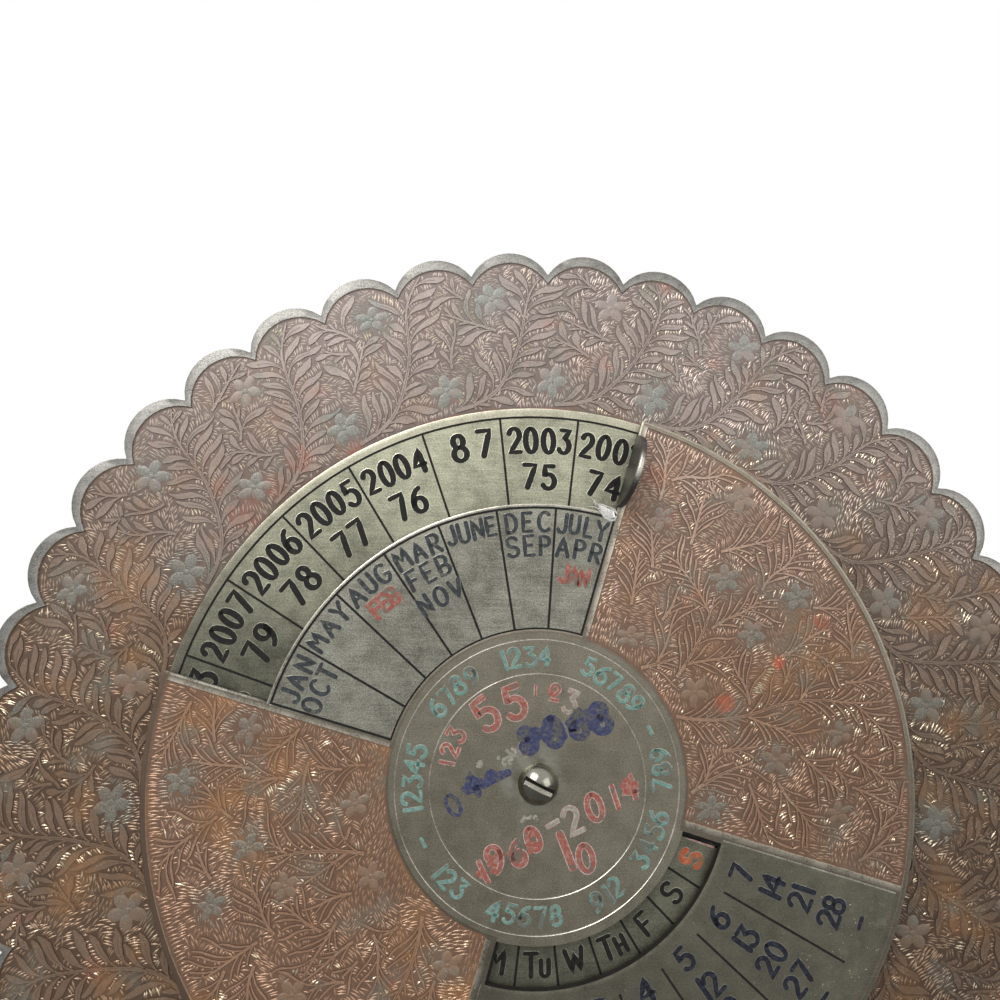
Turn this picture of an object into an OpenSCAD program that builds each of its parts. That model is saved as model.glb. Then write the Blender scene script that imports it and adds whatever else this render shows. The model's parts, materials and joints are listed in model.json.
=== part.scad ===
// Round perpetual calendar for a desk, in sheet brass.
// A scalloped base plate carries a fixed dial of years and weekdays.
// A cover with two windows turns on it about the centre screw, by a bent finger tab.
// A hinged leg on the back holds the plate up at a lean.
// The disc centre is the plate's own origin, and the plate's back face is at height 0 there.

/* [Base plate] */
// Radius of the plate at the tips of its scallops
plate_tip_r = 85.25; // [78:0.25:110]
// Number of scallops around the rim
scallop_count = 40; // [24:4:60]
// How far the tips stand out beyond the notches between the scallops
scallop_rise = 3.7; // [2.5:0.1:5]
// Thickness of the base sheet
base_t = 1.2; // [1:0.1:2]
// Plain margin between the rim and its engraved border line
rim_margin = 1.7; // [1:0.1:3]

/* [Dial] */
// Radius of the dial sheet
dial_r = 58.5; // [56:0.5:70]
// Thickness of the dial sheet
dial_t = 0.9; // [0.8:0.05:1.5]
// Turn of the dial from upright, as it is riveted
dial_turn = 1; // [-6:0.5:6]
// Plain margin outside the dial's outer circle line
dial_margin = 1.5; // [1:0.1:3]
// Number of cells around the dial
cell_count = 28; // [28:28:28]

/* [Cover] */
// Radius of the cover sheet
cover_r = 59; // [57:0.5:72]
// Thickness of the cover sheet
cover_t = 0.9; // [0.8:0.05:1.5]
// Turn of the cover from upright, counter-clockwise
cover_turn = 29.6; // [0:0.1:359]
// Number of dial cells that the year window shows
window_cells = 7; // [5:1:8]
// Radius where the year window starts and the months end
step_r = 42.8; // [41:0.1:45]
// Inner radius of the weekday window
days_inner_r = 23.2; // [22.8:0.1:25]
// Outer radius of the weekday window
days_outer_r = 29.4; // [28:0.1:31]
// Angle of the weekday window
days_angle = 88; // [60:1:95]
// Radius of the outer circle scribed on the hub
hub_outer_r = 21.7; // [20:0.1:22.3]
// Radius of the inner circle scribed on the hub
hub_inner_r = 16.5; // [14:0.1:18]

/* [Finger tab] */
// Length of the tab along the window's edge
tab_len = 12; // [9:0.5:13]
// Distance from the cover's rim to the tab
tab_inset = 2.7; // [2:0.1:3]
// Angle that the tab is bent up by
tab_bend = 95; // [90:1:115]
// Distance from the window's edge back to the tab's bend
tab_back = 0.6; // [0:0.1:0.9]

/* [Engraved lines] */
// Width of the engraved lines
line_w = 0.35; // [0.25:0.05:0.6]
// Depth of the engraved lines
line_depth = 0.2; // [0.1:0.05:0.3]

/* [Centre pivot] */
// Diameter of the centre screw's shank
screw_d = 3; // [2.5:0.1:4]
// Diameter of the screw's round head
head_d = 6.2; // [5:0.1:8]
// Height of the screw's round head
head_h = 2.3; // [1.8:0.1:2.8]
// Width of the screwdriver slot
slot_w = 1.1; // [0.8:0.1:1.4]
// Depth of the screwdriver slot
slot_depth = 1.1; // [0.8:0.1:1.4]
// Direction of the slot from level
slot_turn = -25; // [-90:1:90]
// Length of thread that stands out of the nut
thread_end = 0.8; // [0.4:0.1:1.5]
// Diameter of the slip washer between dial and cover
slip_washer_d = 12; // [8:0.5:20]
// Thickness of the slip washer
slip_washer_t = 0.3; // [0.2:0.05:0.5]
// Diameter of the flat washer on the back
back_washer_d = 9; // [7:0.5:12]
// Thickness of the flat washer on the back
back_washer_t = 0.5; // [0.4:0.1:1]
// Diameter of the split spring washer
spring_washer_d = 6.2; // [5.6:0.1:8]
// Thickness of the split spring washer
spring_washer_t = 0.8; // [0.6:0.1:1]
// Width of the nut across its flats
nut_flats = 5.5; // [5:0.1:8]
// Height of the nut
nut_h = 2.4; // [2:0.1:3]

/* [Rivets] */
// Shank diameter of the rivets
rivet_d = 2.4; // [2:0.1:3]
// Height of the rivets' low round heads on the back
rivet_head_h = 0.8; // [0.6:0.1:1.2]
// Radius of the circle of rivets that hold the dial
dial_rivet_r = 36; // [34:0.5:39]
// Number of rivets that hold the dial
dial_rivet_count = 4; // [3:1:8]

/* [Stand] */
// Angle that the plate leans back by
lean = 16; // [12:0.5:20]
// Angle between the plate and the opened leg
leg_open = 28; // [24:0.5:32]
// Height of the hinge pin above the disc centre
hinge_up = 26; // [24:0.5:30]
// Diameter of the hinge pin
pin_d = 2; // [1.6:0.1:2.6]
// Thickness of the bracket and leg sheet
stand_t = 1; // [0.8:0.1:1.4]
// Gap between the leg's knuckles and the plate
knuckle_gap = 0.35; // [0.3:0.05:0.6]
// Length of the bracket's single knuckle
knuckle_len = 8; // [6:0.5:10]
// Length of each of the leg's two knuckles
leg_knuckle_len = 4; // [3:0.5:6]
// Width of each of the leg's two stop ears
ear_w = 3.6; // [3:0.2:6]
// Width of the bracket's leaf
leaf_w = 28; // [24:1:40]
// Length of the bracket's leaf below the knuckles
leaf_len = 14; // [12:0.5:15]
// Width of the leg at its foot
foot_w = 50; // [40:1:70]
// Width of the leg at its waist, at the nut hole
waist_w = 27; // [24:1:34]
// Depth of the foot that is bent flat onto the desk
foot_depth = 5; // [4:0.5:10]
// Diameter of the hole in the leg that clears the nut
nut_hole_d = 14; // [12:0.5:16]

/* [Fits] */
// Radial gap of the pieces that turn on a pin or screw
run_gap = 0.06; // [0.03:0.01:0.1]
// Radial gap of the pieces that are fixed on a shank
fixed_gap = 0.03; // [0.02:0.01:0.05]
// Gap over and under the cover, where it slides
slide_gap = 0.05; // [0.02:0.01:0.1]
// Gap that is left at the leg's stop, and beside its knuckles
stop_gap = 0.1; // [0.05:0.05:0.2]

/* [Hidden] */
$fn = 96;
eps = 0.01;

// Heights of the stacked sheets above the plate's back face.
dial_z = base_t;
slip_z = dial_z + dial_t;
cover_z = slip_z + slip_washer_t + slide_gap;
cover_top = cover_z + cover_t;
head_z = cover_top + slide_gap;

// Scallops: each is an arc through two notches, with its tip on the plate's radius.
scallop_pitch = 360 / scallop_count;
notch_r = plate_tip_r - scallop_rise;
half_chord = notch_r * sin(scallop_pitch / 2);
sagitta = plate_tip_r - notch_r * cos(scallop_pitch / 2);
scallop_r = (half_chord * half_chord + sagitta * sagitta) / (2 * sagitta);
scallop_centre_r = plate_tip_r - scallop_r;

// Cells and windows, with the lands between the scribed lines and the edges beside them.
window_land = 0.25;
months_land = 0.1;
date_land = 5.6;
date_start = 3;
line_under = 1.5;
cell_pitch = 360 / cell_count;
window_angle = window_cells * cell_pitch;
year_line_r = dial_r - dial_margin;
months_line_r = step_r - line_w - window_land;
months_inner_r = days_inner_r + months_land;
date_line_end = cover_r - date_land;

// Rivets: a flush countersunk front and a low round head behind.
rivet_sink_d = 1.6 * rivet_d;
rivet_sink_h = 0.6;
rivet_head_d = 1.8 * rivet_d;
rivet_land = 1.5;
leaf_rivet_x = leaf_w / 2 - rivet_head_d / 2 - rivet_land;
leaf_rivet_edge = rivet_head_d / 2 + rivet_land;

// Hinge of the leg, in the plate's own frame.
knuckle_r = pin_d / 2 + run_gap + stand_t;
pin_head_d = 1.35 * pin_d;
pin_head_h = 0.5;
pin_z = -(knuckle_gap + knuckle_r);
sheet_z = -knuckle_r;
leaf_gap = 0.3;
leaf_corner = 2;
leaf_top = hinge_up - knuckle_r - leaf_gap;
leaf_bottom = leaf_top - leaf_len;
ear_len = (-pin_z - stop_gap + (knuckle_r - stand_t) * cos(leg_open)) / sin(leg_open);
leg_knuckle_x = knuckle_len / 2 + 3 * stop_gap;
pin_head_x = leg_knuckle_x + leg_knuckle_len + stop_gap;
ear_x = pin_head_x + pin_head_h + 2 * stop_gap;
leg_top_w = 2 * (ear_x + ear_w);
notch_len = knuckle_r + 2 * leaf_gap;

// The standing part: the plate rests on its lowest scallops, and the leg on its foot.
base_drop = scallop_centre_r * cos(scallop_pitch / 2) + scallop_r;
lift = base_drop * cos(lean);
leg_tilt = leg_open - lean;
pin_world_y = hinge_up * sin(lean) - pin_z * cos(lean);
pin_world_z = lift + hinge_up * cos(lean) + pin_z * sin(lean);
leg_len = (pin_world_z + (knuckle_r - stand_t) * sin(leg_tilt)) / cos(leg_tilt);
foot_front_y = pin_world_y + leg_len * sin(leg_tilt) + (knuckle_r - stand_t) * cos(leg_tilt);
foot_back_y = foot_front_y + stand_t / cos(leg_tilt) + foot_depth;
plate_front_y = -base_drop * sin(lean) - base_t * cos(lean);
centre_y = (plate_front_y + foot_back_y) / 2;

// Puts a piece from the plate's own frame into the standing frame.
module standing() {
    translate([0, -centre_y, lift])
        rotate([90 - lean, 0, 0])
            children();
}

// Flat wedge from the centre, from angle a0 to angle a1, less than half a turn wide.
module wedge(a0, a1, reach) {
    am = (a0 + a1) / 2;
    far = 2 * reach;
    polygon([[0, 0], far * [cos(a0), sin(a0)], far * [cos(am), sin(am)], far * [cos(a1), sin(a1)]]);
}

// Part of a flat ring, from angle a0 to angle a1.
module ring_part(r0, r1, a0, a1) {
    intersection() {
        difference() {
            circle(r = r1);
            circle(r = r0);
        }
        wedge(a0, a1, r1);
    }
}

// Circle line, or a part of one, cut from the plane z = 0 down.
module circle_line(r) {
    translate([0, 0, -line_depth])
        linear_extrude(line_depth + eps)
            difference() {
                circle(r = r + line_w / 2);
                circle(r = r - line_w / 2);
            }
}

module arc_line(r, a0, a1) {
    translate([0, 0, -line_depth])
        linear_extrude(line_depth + eps)
            ring_part(r - line_w / 2, r + line_w / 2, a0, a1);
}

// Radial line from radius r0 to r1 at angle a, cut from the plane z = 0 down.
module spoke_line(r0, r1, a) {
    rotate(a)
        translate([r0, -line_w / 2, -line_depth])
            cube([r1 - r0, line_w, line_depth + eps]);
}

// Outline of the scalloped plate, with its arcs moved in by an inset.
module scallop_outline(inset) {
    centre_r = scallop_centre_r - inset;
    union() {
        circle(r = centre_r);
        for (i = [0 : scallop_count - 1])
            rotate(90 + (i + 0.5) * scallop_pitch)
                translate([centre_r, 0])
                    circle(r = scallop_r, $fn = 48);
    }
}

// Centres of the rivets, as lists of places in the plate's frame.
function dial_rivet_places() = [
    for (i = [0 : dial_rivet_count - 1])
        dial_rivet_r * [cos(90 + i * 360 / dial_rivet_count), sin(90 + i * 360 / dial_rivet_count)]
];
function leaf_rivet_places() = [
    for (sx = [-1, 1], y = [leaf_bottom + leaf_rivet_edge, leaf_top - leaf_rivet_edge])
        [sx * leaf_rivet_x, y]
];

// Flat plate, centred, with round corners.
module rounded_plate(w, h, r) {
    square([w - 2 * r, h], center = true);
    square([w, h - 2 * r], center = true);
    for (sx = [-1, 1], sy = [-1, 1])
        translate([sx * (w / 2 - r), sy * (h / 2 - r)])
            circle(r = r);
}

// Through hole with a flush countersink at height top.
module rivet_hole(top, bottom) {
    translate([0, 0, bottom - eps])
        cylinder(d = rivet_d + 2 * fixed_gap, h = top - bottom + 2 * eps);
    translate([0, 0, top - rivet_sink_h])
        cylinder(d1 = rivet_d + 2 * fixed_gap, d2 = rivet_sink_d + 2 * fixed_gap, h = rivet_sink_h);
}

// Rivet, flush in the countersink at height top, with its round head under bottom.
module rivet(top, bottom) {
    cap_r = (rivet_head_d * rivet_head_d / 4 + rivet_head_h * rivet_head_h) / (2 * rivet_head_h);
    translate([0, 0, bottom])
        cylinder(d = rivet_d, h = top - bottom);
    translate([0, 0, top - rivet_sink_h])
        cylinder(d1 = rivet_d, d2 = rivet_sink_d, h = rivet_sink_h);
    translate([0, 0, bottom])
        intersection() {
            translate([0, 0, cap_r - rivet_head_h])
                sphere(r = cap_r);
            translate([0, 0, -rivet_head_h])
                cylinder(d = rivet_head_d, h = rivet_head_h);
        }
}

module base_plate() {
    color([0.56, 0.38, 0.32])
        standing()
            difference() {
                linear_extrude(base_t)
                    scallop_outline(0);
                translate([0, 0, base_t - line_depth])
                    linear_extrude(line_depth + eps)
                        difference() {
                            scallop_outline(rim_margin);
                            scallop_outline(rim_margin + line_w);
                        }
                translate([0, 0, -eps])
                    cylinder(d = screw_d + 2 * fixed_gap, h = base_t + 2 * eps);
                for (p = dial_rivet_places())
                    translate(p)
                        translate([0, 0, -eps])
                            cylinder(d = rivet_d + 2 * fixed_gap, h = base_t + 2 * eps);
                for (p = leaf_rivet_places())
                    translate(p)
                        rivet_hole(base_t, 0);
            }
}

// Years in the outer ring and weekdays in the inner one share the same cells.
module dial_disc() {
    color([0.66, 0.64, 0.5])
        standing()
            difference() {
                translate([0, 0, dial_z])
                    cylinder(r = dial_r, h = dial_t);
                translate([0, 0, slip_z]) {
                    circle_line(year_line_r);
                    for (i = [0 : cell_count - 1]) {
                        border = 90 + dial_turn + (i + 0.5) * cell_pitch;
                        spoke_line(step_r - line_under, year_line_r, border);
                        spoke_line(days_inner_r - line_under, days_outer_r + line_under, border);
                    }
                }
                translate([0, 0, dial_z - eps])
                    cylinder(d = screw_d + 2 * fixed_gap, h = dial_t + 2 * eps);
                for (p = dial_rivet_places())
                    translate(p)
                        rivet_hole(slip_z, dial_z);
            }
}

module dial_rivets() {
    color([0.7, 0.58, 0.36])
        standing()
            for (p = dial_rivet_places())
                translate(p)
                    rivet(slip_z, 0);
}

// Half-round tab along X, bent up about the cover's top edge; the window lies towards +Y.
module finger_tab() {
    tab_r = tab_len / 2;
    rotate([tab_bend, 0, 0])
        intersection() {
            translate([0, 0, -cover_t])
                cylinder(r = tab_r, h = cover_t);
            translate([-tab_r, 0, -cover_t])
                cube([tab_len, tab_r, cover_t]);
        }
    // Outside of the bend.
    intersection() {
        translate([-tab_r, 0, 0])
            rotate([0, 90, 0])
                cylinder(r = cover_t, h = tab_len);
        translate([-tab_r, -eps, -cover_t])
            cube([tab_len, cover_t + eps, cover_t + eps]);
    }
}

// Cover with its window upright: years window at the top, dates at the bottom.
module cover_upright() {
    half = window_angle / 2;
    difference() {
        translate([0, 0, cover_z])
            linear_extrude(cover_t)
                difference() {
                    circle(r = cover_r);
                    ring_part(step_r, 2 * cover_r, 90 - half, 90 + half);
                    ring_part(days_inner_r, days_outer_r, 270 - days_angle / 2, 270 + days_angle / 2);
                    circle(d = screw_d + 2 * run_gap);
                }
        translate([0, 0, cover_top]) {
            circle_line(hub_outer_r);
            circle_line(hub_inner_r);
            arc_line(months_line_r, 90 - half, 90 + half);
            arc_line(months_inner_r, 90 - half, 90 + half);
            for (i = [0 : window_cells]) {
                border = 90 - half + i * cell_pitch;
                spoke_line(months_inner_r, months_line_r, border);
                spoke_line(days_outer_r + date_start, date_line_end, border + 180);
            }
        }
    }
    rotate(90 - half)
        translate([cover_r - tab_inset - tab_len / 2, -tab_back, cover_top])
            finger_tab();
}

module cover_disc() {
    color([0.58, 0.37, 0.29])
        standing()
            rotate(cover_turn)
                cover_upright();
}

// Flat ring from height z up.
module ring(outer_d, inner_d, h, z) {
    translate([0, 0, z])
        difference() {
            cylinder(d = outer_d, h = h);
            translate([0, 0, -eps])
                cylinder(d = inner_d, h = h + 2 * eps);
        }
}

module slip_washer() {
    color([0.72, 0.6, 0.38])
        standing()
            ring(slip_washer_d, screw_d + 2 * fixed_gap, slip_washer_t, slip_z);
}

back_washer_z = -back_washer_t;
spring_washer_z = back_washer_z - spring_washer_t;
nut_z = spring_washer_z - nut_h;
screw_end_z = nut_z - thread_end;
split_w = 0.6;
split_turn = 60;

module centre_screw() {
    cap_r = (head_d * head_d / 4 + head_h * head_h) / (2 * head_h);
    color([0.62, 0.6, 0.5])
        standing()
            difference() {
                union() {
                    translate([0, 0, screw_end_z])
                        cylinder(d = screw_d, h = head_z - screw_end_z);
                    translate([0, 0, head_z])
                        intersection() {
                            translate([0, 0, head_h - cap_r])
                                sphere(r = cap_r);
                            cylinder(d = head_d, h = head_h);
                        }
                }
                rotate(slot_turn)
                    translate([-head_d, -slot_w / 2, head_z + head_h - slot_depth])
                        cube([2 * head_d, slot_w, slot_depth + 1]);
            }
}

module back_washer() {
    color([0.72, 0.6, 0.38])
        standing()
            ring(back_washer_d, screw_d + 2 * fixed_gap, back_washer_t, back_washer_z);
}

module spring_washer() {
    color([0.45, 0.45, 0.46])
        standing()
            difference() {
                ring(spring_washer_d, screw_d + 2 * fixed_gap, spring_washer_t, spring_washer_z);
                rotate(split_turn)
                    translate([0, -split_w / 2, spring_washer_z - eps])
                        cube([spring_washer_d, split_w, spring_washer_t + 2 * eps]);
            }
}

module back_nut() {
    corner_d = nut_flats / cos(30);
    color([0.72, 0.6, 0.38])
        standing()
            difference() {
                translate([0, 0, nut_z])
                    intersection() {
                        cylinder(d = corner_d, h = nut_h, $fn = 6);
                        cylinder(d1 = nut_flats, d2 = nut_flats + 4 * nut_h, h = nut_h);
                    }
                translate([0, 0, nut_z - eps])
                    cylinder(d = screw_d + 2 * fixed_gap, h = nut_h + 2 * eps);
            }
}

// Knuckle along X around the pin, from x0 to x1, with its bore.
module knuckle(x0, x1, bore_gap) {
    translate([x0, 0, 0])
        rotate([0, 90, 0])
            difference() {
                cylinder(r = knuckle_r, h = x1 - x0, $fn = 64);
                translate([0, 0, -eps])
                    cylinder(d = pin_d + 2 * bore_gap, h = x1 - x0 + 2 * eps, $fn = 64);
            }
}

// Leaf against the plate's back, whose tongue is rolled into one knuckle.
module strut_bracket() {
    color([0.68, 0.55, 0.33])
        standing() {
            difference() {
                union() {
                    difference() {
                        translate([0, (leaf_bottom + leaf_top) / 2, -stand_t])
                            linear_extrude(stand_t)
                                rounded_plate(leaf_w, leaf_len, leaf_corner);
                        for (p = leaf_rivet_places())
                            translate([p[0], p[1], -stand_t - eps])
                                cylinder(d = rivet_d + 2 * fixed_gap, h = stand_t + 2 * eps);
                    }
                    translate([-knuckle_len / 2, leaf_top - eps, -stand_t])
                        cube([knuckle_len, hinge_up - leaf_top + eps, stand_t]);
                    translate([-knuckle_len / 2, hinge_up, pin_z])
                        rotate([0, 90, 0])
                            cylinder(r = knuckle_r, h = knuckle_len, $fn = 64);
                }
                translate([-knuckle_len / 2 - eps, hinge_up, pin_z])
                    rotate([0, 90, 0])
                        cylinder(d = pin_d + 2 * fixed_gap, h = knuckle_len + 2 * eps, $fn = 64);
            }
        }
}

module bracket_rivets() {
    color([0.7, 0.58, 0.36])
        standing()
            for (p = leaf_rivet_places())
                translate(p)
                    rivet(base_t, -stand_t);
}

module hinge_pin() {
    color([0.6, 0.58, 0.5])
        standing()
            translate([0, hinge_up, pin_z])
                rotate([0, 90, 0]) {
                    cylinder(d = pin_d, h = 2 * pin_head_x, center = true, $fn = 64);
                    for (s = [-1, 1])
                        translate([0, 0, s * (pin_head_x + pin_head_h / 2)])
                            cylinder(d = pin_head_d, h = pin_head_h, center = true, $fn = 64);
                }
}

// Flat outline of the leg below the pin: ears, waist and splayed foot.
module leg_outline() {
    over = 5;
    waist_y = -hinge_up;
    difference() {
        polygon([
            [-leg_top_w / 2, -notch_len], [-waist_w / 2, waist_y], [-foot_w / 2, -leg_len - over],
            [foot_w / 2, -leg_len - over], [waist_w / 2, waist_y], [leg_top_w / 2, -notch_len]
        ]);
        translate([0, waist_y])
            circle(d = nut_hole_d);
    }
    for (s = [-1, 1]) {
        translate([s * (leg_knuckle_x + leg_knuckle_len / 2) - leg_knuckle_len / 2, -notch_len - eps])
            square([leg_knuckle_len, notch_len + eps]);
        translate([s * (ear_x + ear_w / 2) - ear_w / 2, -notch_len - eps])
            square([ear_w, notch_len + eps + ear_len]);
    }
}

// Leg, hinged at the pin and opened, with its foot bent flat onto the desk.
module strut_leg() {
    under = 20;
    foot_overlap = 0.4;
    color([0.68, 0.55, 0.33])
        translate([0, -centre_y, 0]) {
            difference() {
                translate([0, pin_world_y, pin_world_z])
                    rotate([90 + leg_tilt, 0, 0]) {
                        difference() {
                            union() {
                                translate([0, 0, sheet_z])
                                    linear_extrude(stand_t)
                                        leg_outline();
                                for (s = [-1, 1])
                                    translate([s * (leg_knuckle_x + leg_knuckle_len / 2), 0, 0])
                                        rotate([0, 90, 0])
                                            cylinder(r = knuckle_r, h = leg_knuckle_len, center = true,
                                                     $fn = 64);
                            }
                            rotate([0, 90, 0])
                                cylinder(d = pin_d + 2 * run_gap, h = leg_top_w, center = true, $fn = 64);
                        }
                    }
                translate([-foot_w, foot_front_y - under, -under])
                    cube([2 * foot_w, 3 * under, under]);
            }
            translate([-foot_w / 2, foot_front_y + foot_overlap, 0])
                cube([foot_w, foot_back_y - foot_front_y - foot_overlap, stand_t]);
        }
}

base_plate();
dial_disc();
dial_rivets();
cover_disc();
slip_washer();
centre_screw();
back_washer();
spring_washer();
back_nut();
strut_bracket();
bracket_rivets();
hinge_pin();
strut_leg();
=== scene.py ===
"""Looks of a round perpetual calendar for a desk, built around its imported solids.

Lengths are in millimetres in the leaning plate's own frame: X to the right, Y up the
plate, Z out of its front, with the disc centre on the plate's back at the origin.
Angles are in degrees, counter-clockwise as seen from the front.
"""

import json
import logging
import math
import random
from collections.abc import Callable, Iterable, Sequence
from dataclasses import dataclass, field
from enum import Enum

import bmesh
import bpy
import numpy as np
from bpy.types import Material, Mesh, Node, NodeSocket, NodeTree, Object
from mathutils import Matrix, Vector

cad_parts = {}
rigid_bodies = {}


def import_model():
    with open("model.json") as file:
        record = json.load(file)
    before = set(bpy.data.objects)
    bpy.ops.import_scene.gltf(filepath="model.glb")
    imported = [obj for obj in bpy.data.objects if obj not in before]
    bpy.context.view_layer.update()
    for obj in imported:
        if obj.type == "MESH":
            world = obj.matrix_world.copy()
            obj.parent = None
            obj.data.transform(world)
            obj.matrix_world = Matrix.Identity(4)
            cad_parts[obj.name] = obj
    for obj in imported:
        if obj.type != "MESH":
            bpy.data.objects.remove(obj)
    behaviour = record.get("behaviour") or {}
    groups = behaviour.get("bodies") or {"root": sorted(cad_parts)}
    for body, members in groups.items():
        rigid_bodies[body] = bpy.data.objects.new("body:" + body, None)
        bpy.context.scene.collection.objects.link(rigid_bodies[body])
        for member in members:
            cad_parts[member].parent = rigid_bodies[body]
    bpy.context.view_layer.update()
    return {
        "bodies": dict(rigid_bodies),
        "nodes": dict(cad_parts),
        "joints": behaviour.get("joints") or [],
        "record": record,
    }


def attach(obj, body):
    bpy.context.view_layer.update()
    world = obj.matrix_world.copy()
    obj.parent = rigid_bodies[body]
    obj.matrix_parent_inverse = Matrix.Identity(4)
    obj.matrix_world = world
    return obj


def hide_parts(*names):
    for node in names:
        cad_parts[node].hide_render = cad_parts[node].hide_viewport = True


LOG = logging.getLogger("calendar")
MM = 0.001
FLAT_AREA = 9 * MM**2
WELD = 1e-7
WHITE = (1.0, 1.0, 1.0, 1.0)
SHEET_CREASE = 25.0
PETAL_CREASE = 60.0
PRESSED_CREASE = 32.0
FLAT_TURN = 1.5
EDGE_TURN = 35.0

Rgb = tuple[float, float, float]
Point2 = tuple[float, float]
Point3 = tuple[float, float, float]


def polar(radius: float, angle: float) -> Point2:
    """Point at a radius and an angle in degrees."""
    return radius * math.cos(math.radians(angle)), radius * math.sin(math.radians(angle))


def turn_from(start: float, angle: float) -> float:
    """Turn from one angle to another, from -180 to 180 degrees."""
    return (angle - start + 180) % 360 - 180


def linked(name: str, data: bpy.types.ID) -> Object:
    """New object that is linked to the scene."""
    piece = bpy.data.objects.new(name, data)
    bpy.context.scene.collection.objects.link(piece)
    return piece


def carry(mesh: Mesh, **numbers: Sequence[float]) -> None:
    """Gives a mesh numbers at its vertices, by attribute name."""
    for name, values in numbers.items():
        mesh.attributes.new(name, "FLOAT", "POINT").data.foreach_set("value", values)


# ------------ frame


@dataclass(frozen=True)
class PlateFrame:
    """Place of the plate's own frame, in mm, in the standing frame, in metres."""

    to_world: Matrix

    @classmethod
    def from_joint(cls, joints: list[dict], name: str) -> "PlateFrame":
        """Reads the frame from the joint about which the cover turns.

        Args:
            joints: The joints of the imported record.
            name: Name of the joint on the disc's axis.

        Returns:
            The frame with its origin on the plate's back face.
        """
        joint = next(j for j in joints if j["name"] == name)
        normal = Vector(joint["axis"]).normalized()
        right = Vector((1, 0, 0))
        matrix = Matrix((right, normal.cross(right), normal)).transposed().to_4x4()
        matrix.translation = joint["pos_m"]
        return cls(matrix @ Matrix.Scale(MM, 4))

    def turned(self, angle: float) -> "PlateFrame":
        """The same frame, turned counter-clockwise about its Z axis."""
        return PlateFrame(self.to_world @ Matrix.Rotation(math.radians(angle), 4, "Z"))

    def box(self, node: Object) -> tuple[np.ndarray, np.ndarray]:
        """Lowest and highest corner of a CAD node in this frame."""
        inverse = np.array(self.to_world.inverted())
        points = np.array([v.co for v in node.data.vertices]) @ inverse[:3, :3].T + inverse[:3, 3]
        return points.min(0), points.max(0)


# ------------ node trees


class Value:
    """Number socket of a node tree, on which Python's operators add Math nodes."""

    def __init__(self, graph: "Graph", socket: NodeSocket) -> None:
        """Wraps an output socket."""
        self.graph = graph
        self.socket = socket

    def math(self, operation: str, *operands: "Value | float") -> "Value":
        """Result of a Math node on these operands."""
        inputs = dict(enumerate(operands))
        return self.graph.value("ShaderNodeMath", {"operation": operation}, inputs)

    def __add__(self, other: "Value | float") -> "Value":
        """Sum."""
        return self.math("ADD", self, other)

    __radd__ = __add__

    def __sub__(self, other: "Value | float") -> "Value":
        """Difference."""
        return self.math("SUBTRACT", self, other)

    def __rsub__(self, other: float) -> "Value":
        """Difference from a number."""
        return self.math("SUBTRACT", other, self)

    def __mul__(self, other: "Value | float") -> "Value":
        """Product."""
        return self.math("MULTIPLY", self, other)

    __rmul__ = __mul__

    def __truediv__(self, other: "Value | float") -> "Value":
        """Quotient."""
        return self.math("DIVIDE", self, other)

    def clamp(self) -> "Value":
        """Value held between 0 and 1."""
        return self.math("MINIMUM", self.math("MAXIMUM", self, 0.0), 1.0)

    def step(self, low: float, high: float) -> "Value":
        """Smooth step from 0 at low to 1 at high; low may be the larger."""
        if low > high:
            return 1.0 - self.step(high, low)
        inputs = {"Value": self, "From Min": low, "From Max": high}
        return self.graph.value("ShaderNodeMapRange", {"interpolation_type": "SMOOTHSTEP"}, inputs)


class Graph:
    """A node tree that is being built."""

    def __init__(self, tree: NodeTree) -> None:
        """Starts on an empty tree."""
        self.tree = tree

    def node(self, kind: str, settings: dict | None = None, inputs: dict | None = None) -> Node:
        """Adds a node.

        Args:
            kind: Type name of the node.
            settings: Properties of the node, which are set first.
            inputs: Numbers, colours, sockets or values by socket name or number.

        Returns:
            The new node.
        """
        node = self.tree.nodes.new(kind)
        for name, setting in (settings or {}).items():
            setattr(node, name, setting)
        for name, given in (inputs or {}).items():
            socket = given.socket if isinstance(given, Value) else given
            if isinstance(socket, NodeSocket):
                self.tree.links.new(socket, node.inputs[name])
            else:
                node.inputs[name].default_value = socket
        return node

    def out(self, kind: str, settings: dict | None = None, inputs: dict | None = None) -> NodeSocket:
        """Adds a node and gives its first output."""
        return self.node(kind, settings, inputs).outputs[0]

    def value(self, kind: str, settings: dict | None = None, inputs: dict | None = None) -> Value:
        """Adds a node and wraps its first output."""
        return Value(self, self.out(kind, settings, inputs))

    def vector(self, **parts: "NodeSocket | Value") -> NodeSocket:
        """Vector that is put together from its parts."""
        return self.out("ShaderNodeCombineXYZ", None, parts)

    def part(self, vector: NodeSocket, name: str) -> Value:
        """One part of a vector."""
        return Value(self, self.node("ShaderNodeSeparateXYZ", None, {"Vector": vector}).outputs[name])

    def carried(self, name: str) -> NodeSocket:
        """Number that the points of a Geometry Nodes tree carry."""
        return self.out("GeometryNodeInputNamedAttribute", {"data_type": "FLOAT"}, {"Name": name})

    def rotation(self, turn: "NodeSocket | Value") -> NodeSocket:
        """Rotation about the Z axis of a Geometry Nodes tree."""
        return self.out("FunctionNodeEulerToRotation", None, {"Euler": self.vector(Z=turn)})


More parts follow.
